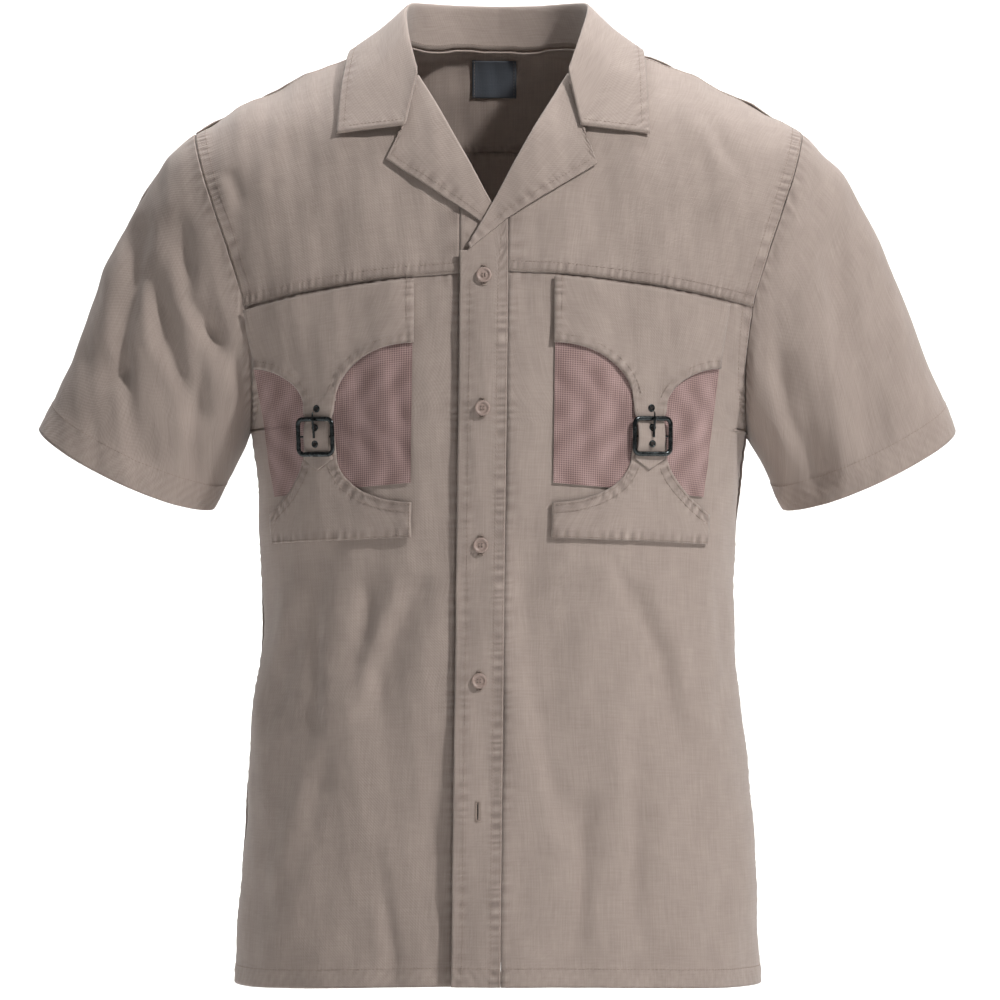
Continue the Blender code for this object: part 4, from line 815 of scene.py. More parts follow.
def cloth_material(name, light, dark, thread, streak_weight, bump):
    """Woven cotton: warp streaks along the piece, slubs across it, washed cloud-like patches, and a twill
    line that is really 0.6 mm apart and is drawn at the given spacing so that it shows."""
    material, tree, shader = new_material(name, Roughness=0.88, Sheen_Weight=0.18, Sheen_Roughness=0.5)
    uv = add(tree, "ShaderNodeUVMap", uv_map="cloth").outputs[0]
    warp = noise(tree, scaled(tree, uv, (950.0, 42.0, 1.0)), 1.0, 3.0)
    weft = noise(tree, scaled(tree, uv, (55.0, 800.0, 1.0)), 1.0, 2.0)
    cloud = noise(tree, uv, 55.0, 5.0)
    # A tone per point that follows the sewn puckers, hem ropes and mesh threads: painted shade in their
    # hollows, painted light on their ridges.
    painted_shading = add(tree, "ShaderNodeAttribute", attribute_name="painted_shading").outputs["Fac"]
    part = times_plus(tree, cloud, 0.45, -0.25)
    part = times_plus(tree, warp, streak_weight, part)
    part = times_plus(tree, weft, 0.45, part)
    part = times_plus(tree, painted_shading, 0.60, part, use_clamp=True)
    colour_between(tree, shader, part, dark, light)
    turn = add(tree, "ShaderNodeMapping", {"Vector": uv, "Rotation": (0.0, 0.0, math.radians(45))}).outputs[0]
    lines = add(tree, "ShaderNodeTexWave", {"Vector": turn, "Scale": 0.314 / thread, "Distortion": 0.4},
                wave_type="BANDS", bands_direction="X").outputs["Fac"]
    height = times_plus(tree, weft, 0.6, times_plus(tree, lines, 0.5, warp))
    bumped(tree, shader, height, bump, 0.0003)
    return material


def metal_material(name):
    """Black nickel plate on die cast zinc: dark, bright, a little uneven where it has been handled."""
    material, tree, shader = new_material(name, Metallic=1.0)
    wear = noise(tree, add(tree, "ShaderNodeTexCoord").outputs["Object"], 320.0, 4.0)
    colour_between(tree, shader, wear, "#15181a", "#5a5f60")
    tree.links.new(times_plus(tree, wear, 0.30, 0.12), shader.inputs["Roughness"])
    bumped(tree, shader, wear, 0.25, 0.0002)
    return material


def resin_material(name):
    """Cast polyester button: satin, faintly streaked through its thickness."""
    material, tree, shader = new_material(name, Roughness=0.42, IOR=1.53)
    place = add(tree, "ShaderNodeTexCoord").outputs["Object"]
    streak = noise(tree, scaled(tree, place, (260.0, 260.0, 900.0)), 1.0, 3.0)
    colour_between(tree, shader, streak, "#8d7a72", "#b39e95")
    bumped(tree, shader, streak, 0.08, 0.0002)
    return material


def plain_material(name, colour, other, scale, roughness):
    """Surface of two near colours in patches of a given size."""
    material, tree, shader = new_material(name, Roughness=roughness)
    patch = noise(tree, add(tree, "ShaderNodeTexCoord").outputs["Object"], scale, 3.0)
    colour_between(tree, shader, patch, colour, other)
    return material


def put_mesh(name, points, faces, material, uv=None, painted_shading=None):
    """Object at the origin with the given points and faces, its UV map in metres and its painted shading: a
    tone per point that follows the height of puckers, hem ropes and mesh threads.
    """
    mesh = bpy.data.meshes.new(name)
    mesh.from_pydata(points.reshape(-1, 3), [], faces.tolist())
    mesh.update()
    mesh.shade_smooth()
    mesh.materials.append(material)
    if uv is not None:
        layer = mesh.uv_layers.new(name="cloth")
        layer.data.foreach_set("uv", uv.reshape(-1).astype(np.float32))
    if painted_shading is not None:
        attribute = mesh.attributes.new("painted_shading", "FLOAT", "POINT")
        attribute.data.foreach_set("value", painted_shading.reshape(-1).astype(np.float32))
    item = bpy.data.objects.new(name, mesh)
    bpy.context.scene.collection.objects.link(item)
    return item


def cloth_piece(name, grid, normal, material, painted_shading=None, thick=CLOTH, ring=False, active=None):
    """Thin shell on a grid of points: quads whose winding follows the direction out, then one thickness of
    cloth inwards. A ring is closed round its second way."""
    rows, places = grid.shape[:2]
    steps = places if ring else places - 1
    i, j = np.meshgrid(np.arange(rows - 1), np.arange(steps), indexing="ij")
    if active is not None:
        i, j = i[active], j[active]
    i, j = i.ravel(), j.ravel()
    corner_i = np.stack((i, i, i + 1, i + 1), axis=1)
    corner_j = np.stack((j, j + 1, j + 1, j), axis=1)
    faces = corner_i * places + corner_j % places
    flat = grid.reshape(-1, 3)
    facing = np.cross(flat[faces[:, 1]] - flat[faces[:, 0]], flat[faces[:, 3]] - flat[faces[:, 0]])
    if np.sum(facing * normal.reshape(-1, 3)[faces[:, 0]]) < 0:
        faces, corner_i, corner_j = faces[:, ::-1], corner_i[:, ::-1], corner_j[:, ::-1]
    closed = np.concatenate((grid, grid[:, :1]), axis=1) if ring else grid
    along, down = arcs(closed)
    along = along - along[:, along.shape[1] // 2][:, None]
    uv = np.stack((along[corner_i, corner_j], down[corner_i, corner_j]), axis=-1)
    used, faces_used = np.unique(faces, return_inverse=True)
    values = np.zeros(len(used)) if painted_shading is None else painted_shading.reshape(-1)[used]
    piece = put_mesh(name + "_cloth", flat[used], faces_used.reshape(faces.shape), material, uv, values)
    if thick:
        shell = piece.modifiers.new("thickness", "SOLIDIFY")
        shell.thickness = thick
        shell.offset = -1.0
    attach(piece, "root")
    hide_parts(name)
    return piece


def on_line(at, length, values):
    """Points or directions at given lengths along a line."""
    return np.stack([np.interp(at, length, values[:, way]) for way in range(3)], axis=1)


def beads(points, normals, pitch, long, wide):
    """Stitches at equal steps along a line: each a bead of four rings of four points, thin at its ends."""
    step = np.linalg.norm(np.diff(points, axis=0), axis=1)
    length = np.concatenate(([0.0], np.cumsum(step)))
    at = np.arange(0.5 * pitch, length[-1], pitch)
    centre = on_line(at, length, points)
    up = on_line(at, length, normals)
    ahead = unit(on_line(at + pitch / 4, length, points) - on_line(at - pitch / 4, length, points))
    aside = np.cross(ahead, up)
    return bead_points(centre, ahead, aside, up, long, wide)


def bead_points(centre, ahead, aside, up, long, wide):
    """Points of beads that lie at given places and in given directions."""
    places = np.array([-0.5, -0.28, 0.28, 0.5]) * long
    radii = np.array([0.25, 1.0, 1.0, 0.25]) * wide / 2
    turn = np.radians([45, 135, 225, 315])
    ring = aside[:, None] * np.cos(turn)[:, None] + up[:, None] * np.sin(turn)[:, None]
    return (centre[:, None, None] + ahead[:, None, None] * places[:, None, None]
            + ring[:, None] * radii[:, None, None])


def bead_faces(count):
    """Faces of that many beads: the sides between their rings, and both ends."""
    one = []
    for ring in range(3):
        for side in range(4):
            after = (side + 1) % 4
            one.append((ring * 4 + side, ring * 4 + 4 + side, ring * 4 + 4 + after, ring * 4 + after))
    one.append((0, 1, 2, 3))
    one.append((15, 14, 13, 12))
    return (np.arange(count)[:, None, None] * 16 + np.array(one)).reshape(-1, 4)


def tuck_under(row, seam_share):
    """Depth of the seam allowance that goes on under the yoke, a cloth's thickness in from its seam."""
    return (CLOTH + 0.0002) * ease(row - 1.0 - seam_share, -0.0035, 0.0005)


def front_panel(hand, side):
    """Front below the yoke seam, between the placket seam and the side seam, in even steps of turn."""
    upper = np.linspace(0.0, FRONT_YOKE_SHARE + TUCK, 66)[1:]
    rows = np.concatenate((np.linspace(0.0, 1.0, 200), 1.0 + upper))
    seam_x = closure(row_shape(FRONT, rows)[4]) + hand * (PLACKET_HALF + HALF_GAP)
    start = across_share(FRONT, seam_x, rows)
    end = hand * (1 - side_gap())
    across = start[:, None] + (end - start[:, None]) * np.linspace(0.0, 1.0, 80)[None, :]
    row = np.repeat(rows[:, None], across.shape[1], axis=1)
    grid = cloth_point(FRONT, across, row, -tuck_under(row, FRONT_YOKE_SHARE), hand)
    normal = body_normal(FRONT, across, row)
    grid, painted_shading = sewn(grid, normal, PANEL_SEAMS)
    grid, rope = hem_band(grid, normal, "first_row", HEM_DEPTH)
    cloth_piece("front_panel_" + side, grid, normal, TWILL, painted_shading + rope)
    stitch(grid, normal, (("first_row", HEM_DEPTH - 0.0008), ("last_column", 0.0015, 0.78, 0.99),
                          ("last_column", 0.0085, 0.78, 0.99)))


def back_panel():
    """Back panel, from the hem to the back yoke seam."""
    upper = np.linspace(0.0, BACK_YOKE_SHARE + TUCK, 70)[1:]
    rows = np.concatenate((np.linspace(0.0, 1.0, 136), 1.0 + upper))
    across = np.linspace(-1 + side_gap(), 1 - side_gap(), 140)
    row, across = np.meshgrid(rows, across, indexing="ij")
    grid = cloth_point(BACK, across, row, -tuck_under(row, BACK_YOKE_SHARE))
    normal = body_normal(BACK, across, row)
    grid, painted_shading = sewn(grid, normal, BACK_SEAMS)
    grid, rope = hem_band(grid, normal, "first_row", HEM_DEPTH)
    cloth_piece("back_panel", grid, normal, TWILL, painted_shading + rope)
    stitch(grid, normal, (("first_row", HEM_DEPTH - 0.0008), ("first_column", 0.0015, 0.72, 0.99),
                          ("last_column", 0.0015, 0.72, 0.99), ("first_column", 0.0085, 0.72, 0.99),
                          ("last_column", 0.0085, 0.72, 0.99)))


def back_yoke():
    """Back yoke, from its seam to the shoulder seams and the neck, with the stitches seen inside it."""
    share = np.linspace(-1, 1, 171) * (1 - side_gap())
    top = end_row(BACK, share, neck_round)
    start = 1.0 + BACK_YOKE_SHARE + 0.001
    row = start + (top[None, :] - start) * np.linspace(0.0, 1.0, 44)[:, None] ** 0.8
    across = np.repeat(share[None, :], row.shape[0], axis=0)
    grid = cloth_point(BACK, across, row, 0.0)
    normal = body_normal(BACK, across, row)
    grid, painted_shading = sewn(grid, normal, YOKE_SEAMS)
    cloth_piece("back_yoke", grid, normal, TWILL, painted_shading)
    stitch(grid, normal, (("first_row", 0.0015), ("first_row", 0.0080), ("first_column", 0.0015),
                          ("last_column", 0.0015), ("first_column", 0.0085), ("last_column", 0.0085)))
    stitch(grid - normal * (CLOTH + 0.0002), -normal, (("first_row", 0.0020, 0.25, 0.75),))


def front_yoke(hand, side):
    """Front above the yoke seam: its inner edge follows the placket seam, the roll line and the neck."""
    seam_z = row_shape(FRONT, np.array([1.0 + FRONT_YOKE_SHARE]))[4][0]
    seam_x = closure(seam_z) + hand * (PLACKET_HALF + HALF_GAP)
    _, top_x, top_z, break_x, break_z = roll_row(hand)
    meet_z = break_z + (seam_x - break_x) / (top_x - break_x) * (top_z - break_z)
    low_z = np.linspace(seam_z, meet_z, 15)[:-1]
    roll_z = np.linspace(meet_z, top_z, 46)[:-1]
    slope = (top_x - break_x) / (top_z - break_z)
    low_x = np.full(low_z.shape, seam_x) + hand * SEAM_GAP
    roll_x = break_x + (roll_z - break_z) * slope + hand * SEAM_GAP
    neck_x, neck_depth = neck_plan(hand, np.linspace(1.0, 0.0, 28))
    inner_x = np.concatenate((low_x, roll_x, neck_x))
    inner_row = np.concatenate((row_at(FRONT, low_x, low_z), row_at(FRONT, roll_x, roll_z),
                                depth_row(FRONT, neck_x, neck_depth)))
    inner_row[0] = 1.0 + FRONT_YOKE_SHARE + 0.001
    outer_row = 1.0 + np.concatenate((np.linspace(FRONT_YOKE_SHARE + 0.001, 0.60, 15)[:-1],
                                      np.linspace(0.60, 0.86, 46)[:-1], np.linspace(0.86, 1.0, 28)))
    start = across_share(FRONT, inner_x, inner_row)
    end = hand * (1 - side_gap())
    share = np.linspace(0.0, 1.0, 96)
    row = inner_row[:, None] + (outer_row - inner_row)[:, None] * share[None, :]
    across = start[:, None] + (end - start)[:, None] * share[None, :]
    row[-1] = end_row(FRONT, across[-1], lambda x: HALF_GAP + 0 * x)
    grid = cloth_point(FRONT, across, row, 0.0, hand)
    normal = body_normal(FRONT, across, row)
    grid, painted_shading = sewn(grid, normal, YOKE_SEAMS)
    cloth_piece("front_yoke_" + side, grid, normal, TWILL, painted_shading)
    stitch(grid, normal, (("first_row", 0.0016), ("first_row", 0.0082), ("last_column", 0.0015),
                          ("last_column", 0.0085), ("last_row", 0.0020)))


def placket(hand, side):
    """Strip along the closure, whose top is cut along the roll line."""
    _, top_x, top_z, break_x, break_z = roll_row(hand)
    slope = (top_z - break_z) / (top_x - break_x)
    share = np.unique(np.concatenate((np.linspace(-1, 1, 22), (-0.68, -0.10, 0.45))))
    base_z = np.linspace(row_shape(FRONT, np.array([0.0]))[4][0], -0.19, 300)
    half = PLACKET_HALF - HALF_GAP
    x = closure(base_z)[:, None] + half * share[None, :]
    z = np.repeat(base_z[:, None], len(share), axis=1)
    top_x_line = closure(-0.15) + half * share
    away = np.clip(hand * (top_x_line - break_x), 0.0, None)
    top_z_line = break_z + away * hand * slope - 0.0006
    up = np.linspace(0.0, 1.0, 25)[1:, None]
    x = np.concatenate((x, np.repeat(top_x_line[None, :], len(up), axis=0)))
    z = np.concatenate((z, -0.19 + (top_z_line + 0.19)[None, :] * up))
    grid, normal = lay_both(hand, x, z, 0.0)
    grid, painted_shading = sewn(grid, normal, PLACKET_SEAMS if hand == LEFT else PLACKET_SEAMS[:1])
    grid, rope = hem_band(grid, normal, "first_row", HEM_DEPTH)
    cloth_piece("placket_" + side, grid, normal, TWILL, painted_shading + rope, thick=PLACKET_CLOTH)
    if hand == LEFT:
        stitch(grid, normal, (("first_column", 0.0078, 0.0, 0.95), ("last_column", 0.0012, 0.0, 0.97),
                              ("last_column", 0.0078, 0.0, 0.97), ("first_row", HEM_DEPTH - 0.0008)))


def lapel(hand, side):
    """Turned back front: half a round fold along the roll line, then a flap that lies on the yoke."""
    _, gorge_x, gorge_z, tip_x, tip_z, low_x, low_z = next(row for row in LAPELS if row[0] == hand)
    along = np.unique(np.concatenate((np.linspace(0.02, 0.992, 96), (0.30, 0.72))))
    roll_x, roll_z = roll_point(hand, along)
    _, top_x, top_z, break_x, break_z = roll_row(hand)
    knots = np.array([0.0, 0.30, 0.72, 1.0])
    edge_x = np.interp(along, knots, [break_x, low_x, tip_x, gorge_x])
    edge_z = np.interp(along, knots, [break_z - 0.001, low_z, tip_z, gorge_z])
    length = math.hypot(top_x - break_x, top_z - break_z)
    inward = np.array([-hand * (top_z - break_z) / length, 0.0, hand * (top_x - break_x) / length])
    inward = inward if inward[0] * hand < 0 else -inward
    radius = LAPEL_START_FOLD + (LAPEL_FOLD - LAPEL_START_FOLD) * ease(along, 0.25, 0.50)
    base, up = lay_both(hand, roll_x, roll_z, 0.0)
    layers = []
    for depth in (0.0, CLOTH):
        angle = np.radians(np.linspace(-90, 90, 15))[None, :, None]
        rim = (radius - depth)[:, None, None]
        turn = (base[:, None] + up[:, None] * ((radius - CLOTH)[:, None, None] + rim * np.sin(angle))
                + inward * rim * np.cos(angle))
        crown = 2 * radius - CLOTH - depth
        rest = 2 * LAPEL_START_FOLD - CLOTH
        rest = rest + (LAPEL_LIE + CLOTH - rest) * ease(along, 0.25, 0.50) - depth
        share = np.linspace(0.0, 1.0, 34)[None, 1:]
        x = roll_x[:, None] + (edge_x - roll_x)[:, None] * share
        z = roll_z[:, None] + (edge_z - roll_z)[:, None] * share
        lie = crown[:, None] + (rest - crown)[:, None] * share
        layers.append(np.concatenate((turn, lay(hand, x, z, lie)), axis=1))
    normal = unit(layers[0] - layers[1])
    grid, painted_shading = sewn(layers[0], normal, LAPEL_SEAMS)
    cloth_piece("lapel_" + side, grid, normal, TWILL, painted_shading)
    stitch(grid, normal, (("last_column", 0.0055, 0.16, 0.97), ("last_row", 0.0055, 0.35, 0.93)))


def neck_seam(steps):
    """Line just above the neck seam: round the back to the shoulder seams, then on to the roll lines."""
    points = np.zeros((len(steps), 3))
    rise = COLLAR_RISE + (COLLAR_END_RISE - COLLAR_RISE) * ease(np.abs(steps), COLLAR_SHOULDER, COLLAR_END)
    for hand in (LEFT, RIGHT):
        sided = steps > 0 if hand == LEFT else steps <= 0
        rear = sided & (np.abs(steps) <= COLLAR_SHOULDER)
        x = hand * NECK_HALF * np.sin(np.abs(steps[rear]) / COLLAR_SHOULDER * np.pi / 2)
        row = depth_row(BACK, x, neck_round(x))
        points[rear] = cloth_point(BACK, across_share(BACK, x, row), row, rise[rear])
        ahead = sided & ~rear
        share = (np.abs(steps[ahead]) - COLLAR_SHOULDER) / (COLLAR_END - COLLAR_SHOULDER)
        x, depth = neck_plan(hand, share * COLLAR_FRONT_REACH)
        row = depth_row(FRONT, x, depth)
        points[ahead] = cloth_point(FRONT, across_share(FRONT, x, row), row, rise[ahead], hand)
    return points


def collar_piece():
    """One folded sheet: up the stand, round a curve pulled to the roll point, and down the leaf."""
    steps = np.linspace(-COLLAR_END, COLLAR_END, 240)
    places = np.arange(len(COLLAR))
    numbers = {}
    for name in COLLAR_COLUMNS:
        numbers[name] = through(places, column(COLLAR, COLLAR_COLUMNS, name), np.abs(steps))
    sets = [neck_seam(steps)]
    for part in ("roll", "leaf", "edge"):
        x = numbers[part + "_x"] * np.sign(steps) + COLLAR_LEAN * ease(np.abs(steps), 3.0, COLLAR_END)
        sets.append(np.stack((x, numbers[part + "_y"], numbers[part + "_z"]), axis=-1))
    seam, roll, leaf, edge = [points[:, None] for points in sets]
    stand = roll + (seam - roll) * 0.30
    fall = roll + (leaf - roll) * 0.28
    first = np.linspace(0.0, 1.0, 9)[None, :-1, None]
    bend = np.linspace(0.0, 1.0, 17)[None, :, None]
    down = np.linspace(0.0, 1.0, 10)[None, 1:, None]
    last = np.linspace(0.0, 1.0, 22)[None, 1:, None]
    grid = np.concatenate((seam + (stand - seam) * first,
                           stand * (1 - bend) ** 2 + roll * 2 * bend * (1 - bend) + fall * bend ** 2,
                           fall + (leaf - fall) * down, leaf + (edge - leaf) * last), axis=1)
    normal = grid_normal(grid)
    grid, painted_shading = sewn(grid, normal, COLLAR_SEAMS)
    cloth_piece("collar", grid, normal, TWILL, painted_shading, thick=COLLAR_CLOTH)
    stitch(grid, normal, (("last_column", 0.0058, 0.01, 0.99), ("first_row", 0.0058, 0.62, 0.93),
                          ("last_row", 0.0058, 0.62, 0.93), ("first_column", 0.0030, 0.02, 0.98)))


def sleeve(hand, side):
    """Short sleeve as one tube from the armhole to the cuff, with folds in its front and its back."""
    round_share = np.linspace(0.0, 1.0, 86)
    way = np.linspace(0.0, 1.0, 135)
    u = (0.6 * way + 0.4 * way * way)[:, None, None]
    front = sleeve_surface(hand, FRONT, round_share[:-1], u)
    rear = sleeve_surface(hand, BACK, round_share[:0:-1], u)
    middle = np.concatenate((front, rear), axis=1)
    wrapped = np.concatenate((middle[:, -1:], middle, middle[:, :1]), axis=1)
    normal = grid_normal(wrapped)[:, 1:-1]
    centre = middle.mean(axis=1, keepdims=True)
    normal = normal * np.sign(np.sum(normal * (middle - centre), axis=-1).mean())
    x = middle[..., 0]
    z = middle[..., 2]
    leave = ease(way, 0.0, 0.2)[:, None]
    facing = ease(-normal[..., 1], -0.1, 0.5) * leave
    behind = ease(normal[..., 1], -0.1, 0.5) * leave
    shift = (fold_shift(SLEEVE_FOLDS, hand, x, z) + crease_shift(SLEEVE_CREASES, hand, x, z)) * facing
    shift = shift + crease_shift(SLEEVE_CREASES, -hand, -x, z - 0.012) * behind
    shift = shift + soft_waves(x, z, 1.7 + hand) * 1.3 * leave
    grid = middle + normal * shift[..., None]
    grid, painted_shading = sewn(grid, normal, SLEEVE_SEAMS)
    grid, rope = hem_band(grid, normal, "last_row", CUFF_DEPTH)
    cloth_piece("sleeve_" + side, grid, normal, TWILL, painted_shading + rope, ring=True)
    stitch(grid, normal, (("last_row", CUFF_DEPTH - 0.0010),))


def path_distance(d, z, path_d, path_z):
    """Distance in the plane from points to a path of straight stretches, and the length along it."""
    start_d, start_z = path_d[:-1], path_z[:-1]
    way_d, way_z = np.diff(path_d), np.diff(path_z)
    length = np.hypot(way_d, way_z)
    share = (d[..., None] - start_d) * way_d + (z[..., None] - start_z) * way_z
    share = np.clip(share / length ** 2, 0.0, 1.0)
    away = np.hypot(d[..., None] - start_d - share * way_d, z[..., None] - start_z - share * way_z)
    nearest = np.argmin(away, axis=-1)[..., None]
    reached = np.concatenate(([0.0], np.cumsum(length)))[:-1] + share * length
    return np.take_along_axis(away, nearest, -1)[..., 0], np.take_along_axis(reached, nearest, -1)[..., 0]


def sew_path(hand, d, z, inset, out):
    """Stitch line beside a path given by distance from the closure and height, moved inset to its left."""
    way_d, way_z = np.gradient(d), np.gradient(z)
    length = np.hypot(way_d, way_z)
    d = d - way_z / length * inset
    z = z + way_d / length * inset
    sew(*lay_both(hand, arc_place(hand, d, z), z, out))


def flap(hand, side):
    """Pocket flap: two hollow arcs, each a quarter turn, and between them the strap through the buckle."""
    turn = np.linspace(0.0, np.pi / 2, 30)
    strap_left = STRAP_MIDDLE - STRAP_HALF
    strap_right = STRAP_MIDDLE + STRAP_HALF
    in_d = POCKET_IN + (strap_left - POCKET_IN) * np.sin(turn)
    in_z = STRAP_TOP_Z + (FLAP_IN_LOW_Z - STRAP_TOP_Z) * np.cos(turn)
    out_d = FLAP_OUT_LOW - (FLAP_OUT_LOW - strap_right) * np.sin(turn[::-1])
    out_z = STRAP_TOP_Z + (FLAP_OUT_LOW_Z - STRAP_TOP_Z) * np.cos(turn[::-1])
    strap_share = np.linspace(-1.0, 1.0, 15)
    places = len(strap_share)
    low_d = np.concatenate((in_d[:-1], STRAP_MIDDLE + STRAP_HALF * strap_share, out_d[1:]))
    low_z = np.concatenate((in_z[:-1], np.full(places, STRAP_TOP_Z), out_z[1:]))
    top_d = low_d.copy()
    top_d[-1] = FLAP_OUT_TOP
    low_x = arc_place(hand, low_d, low_z)
    top_x = arc_place(hand, top_d, np.full(top_d.shape, -0.185))
    top_z = yoke_seam_z(top_x)
    rows_down = 30
    down = np.linspace(0.0, 1.0, rows_down + 1)[:, None]
    x = top_x + (low_x - top_x) * down
    z = top_z + (low_z - top_z) * down
    d = top_d + (low_d - top_d) * down
    strap_z = np.linspace(STRAP_TOP_Z, STRAP_SHOULDER_Z, 31)[1:]
    half = read(STRAP, STRAP_COLUMNS, "half", strap_z)
    first = len(in_d) - 1
    last = first + places - 1
    extra_x = np.repeat(x[-1:], len(strap_z) + 4, axis=0)
    extra_z = np.repeat(z[-1:], len(strap_z) + 4, axis=0)
    strap_d = STRAP_MIDDLE + half[:, None] * strap_share
    extra_z[:-4, first:last + 1] = strap_z[:, None]
    extra_x[:-4, first:last + 1] = arc_place(hand, strap_d, np.repeat(strap_z[:, None], places, axis=1))
    for place, part in enumerate((0.25, 0.5, 0.75, 1.0)):
        tip_z = STRAP_SHOULDER_Z + (STRAP_TIP_Z - STRAP_SHOULDER_Z) * part * (1 - np.abs(strap_share) * 0.9)
        tip_d = STRAP_MIDDLE + half[-1] * (1 - 0.15 * part) * strap_share
        extra_z[place - 4, first:last + 1] = tip_z
        extra_x[place - 4, first:last + 1] = arc_place(hand, tip_d, tip_z)
    x = np.concatenate((x, extra_x))
    z = np.concatenate((z, extra_z))
    d = np.concatenate((d, np.repeat(d[-1:], len(extra_x), axis=0)))
    active = np.ones((x.shape[0] - 1, x.shape[1] - 1), dtype=bool)
    active[rows_down:, :first] = False
    active[rows_down:, last:] = False
    out = np.full(x.shape, PATCH_OUTER)
    out[:, first:last + 1] = read(STRAP, STRAP_COLUMNS, "outer", z[:, first:last + 1])
    in_away, in_along = path_distance(d, z, in_d, in_z)
    out_away, out_along = path_distance(d, z, out_d, out_z)
    on_flap = np.ones(x.shape)
    on_flap[rows_down:] = 0.0
    clear = ease(z, STRAP_TOP_Z + 0.004, STRAP_TOP_Z + 0.022) * on_flap
    near_edge = np.maximum(np.exp(-(in_away / 0.007) ** 2), np.exp(-(out_away / 0.007) ** 2))
    side_away = np.clip(d - POCKET_IN, 0.0, None)
    side_lift = np.exp(-(side_away / 0.006) ** 2) * ease(-z, 0.205, 0.222)
    shift = FLAP_LIFT * np.maximum(near_edge, side_lift) * clear
    sewing = (puckers(in_away, in_along, 0.0035, 0.0004, 0.0045, 0.0065)
              + puckers(out_away, out_along, 0.0035, 0.0004, 0.0045, 0.0065)
              + puckers(side_away, z, 0.003, 0.0004, 0.004, 0.0068)) * on_flap
    soft = 0.0004 * np.sin(d * 130 + hand) * np.sin(z * 150 + 1.0) * clear
    grid, normal = lay_both(hand, x, z, out + shift + sewing + np.abs(soft))
    # The puckers' height is also painted into the cloth's colour: shade in their grooves, light on their
    # ridges.
    cloth_piece("pocket_flap_" + side, grid, normal, TWILL, np.clip(sewing / PATCH_PUCKER_FULL, -1, 1),
                thick=PATCH_CLOTH, active=active)
    sew_path(hand, in_d[:-3], in_z[:-3], 0.0062, PATCH_OUTER + FLAP_LIFT * 0.45)
    sew_path(hand, out_d[3:], out_z[3:], 0.0062, PATCH_OUTER + FLAP_LIFT * 0.45)
    edge_z = np.linspace(-0.176, FLAP_IN_LOW_Z + 0.006, 20)
    sew_path(hand, np.full(20, POCKET_IN), edge_z, 0.0055, PATCH_OUTER + 0.0002)
    side_z = np.linspace(STRAP_TOP_Z - 0.001, STRAP_UNDER_BUCKLE_Z, 12)
    side_out = read(STRAP, STRAP_COLUMNS, "outer", side_z)
    for way in (-1, 1):
        edge_d = STRAP_MIDDLE + way * (read(STRAP, STRAP_COLUMNS, "half", side_z) - 0.0022)
        sew(*lay_both(hand, arc_place(hand, edge_d, side_z), side_z, side_out))


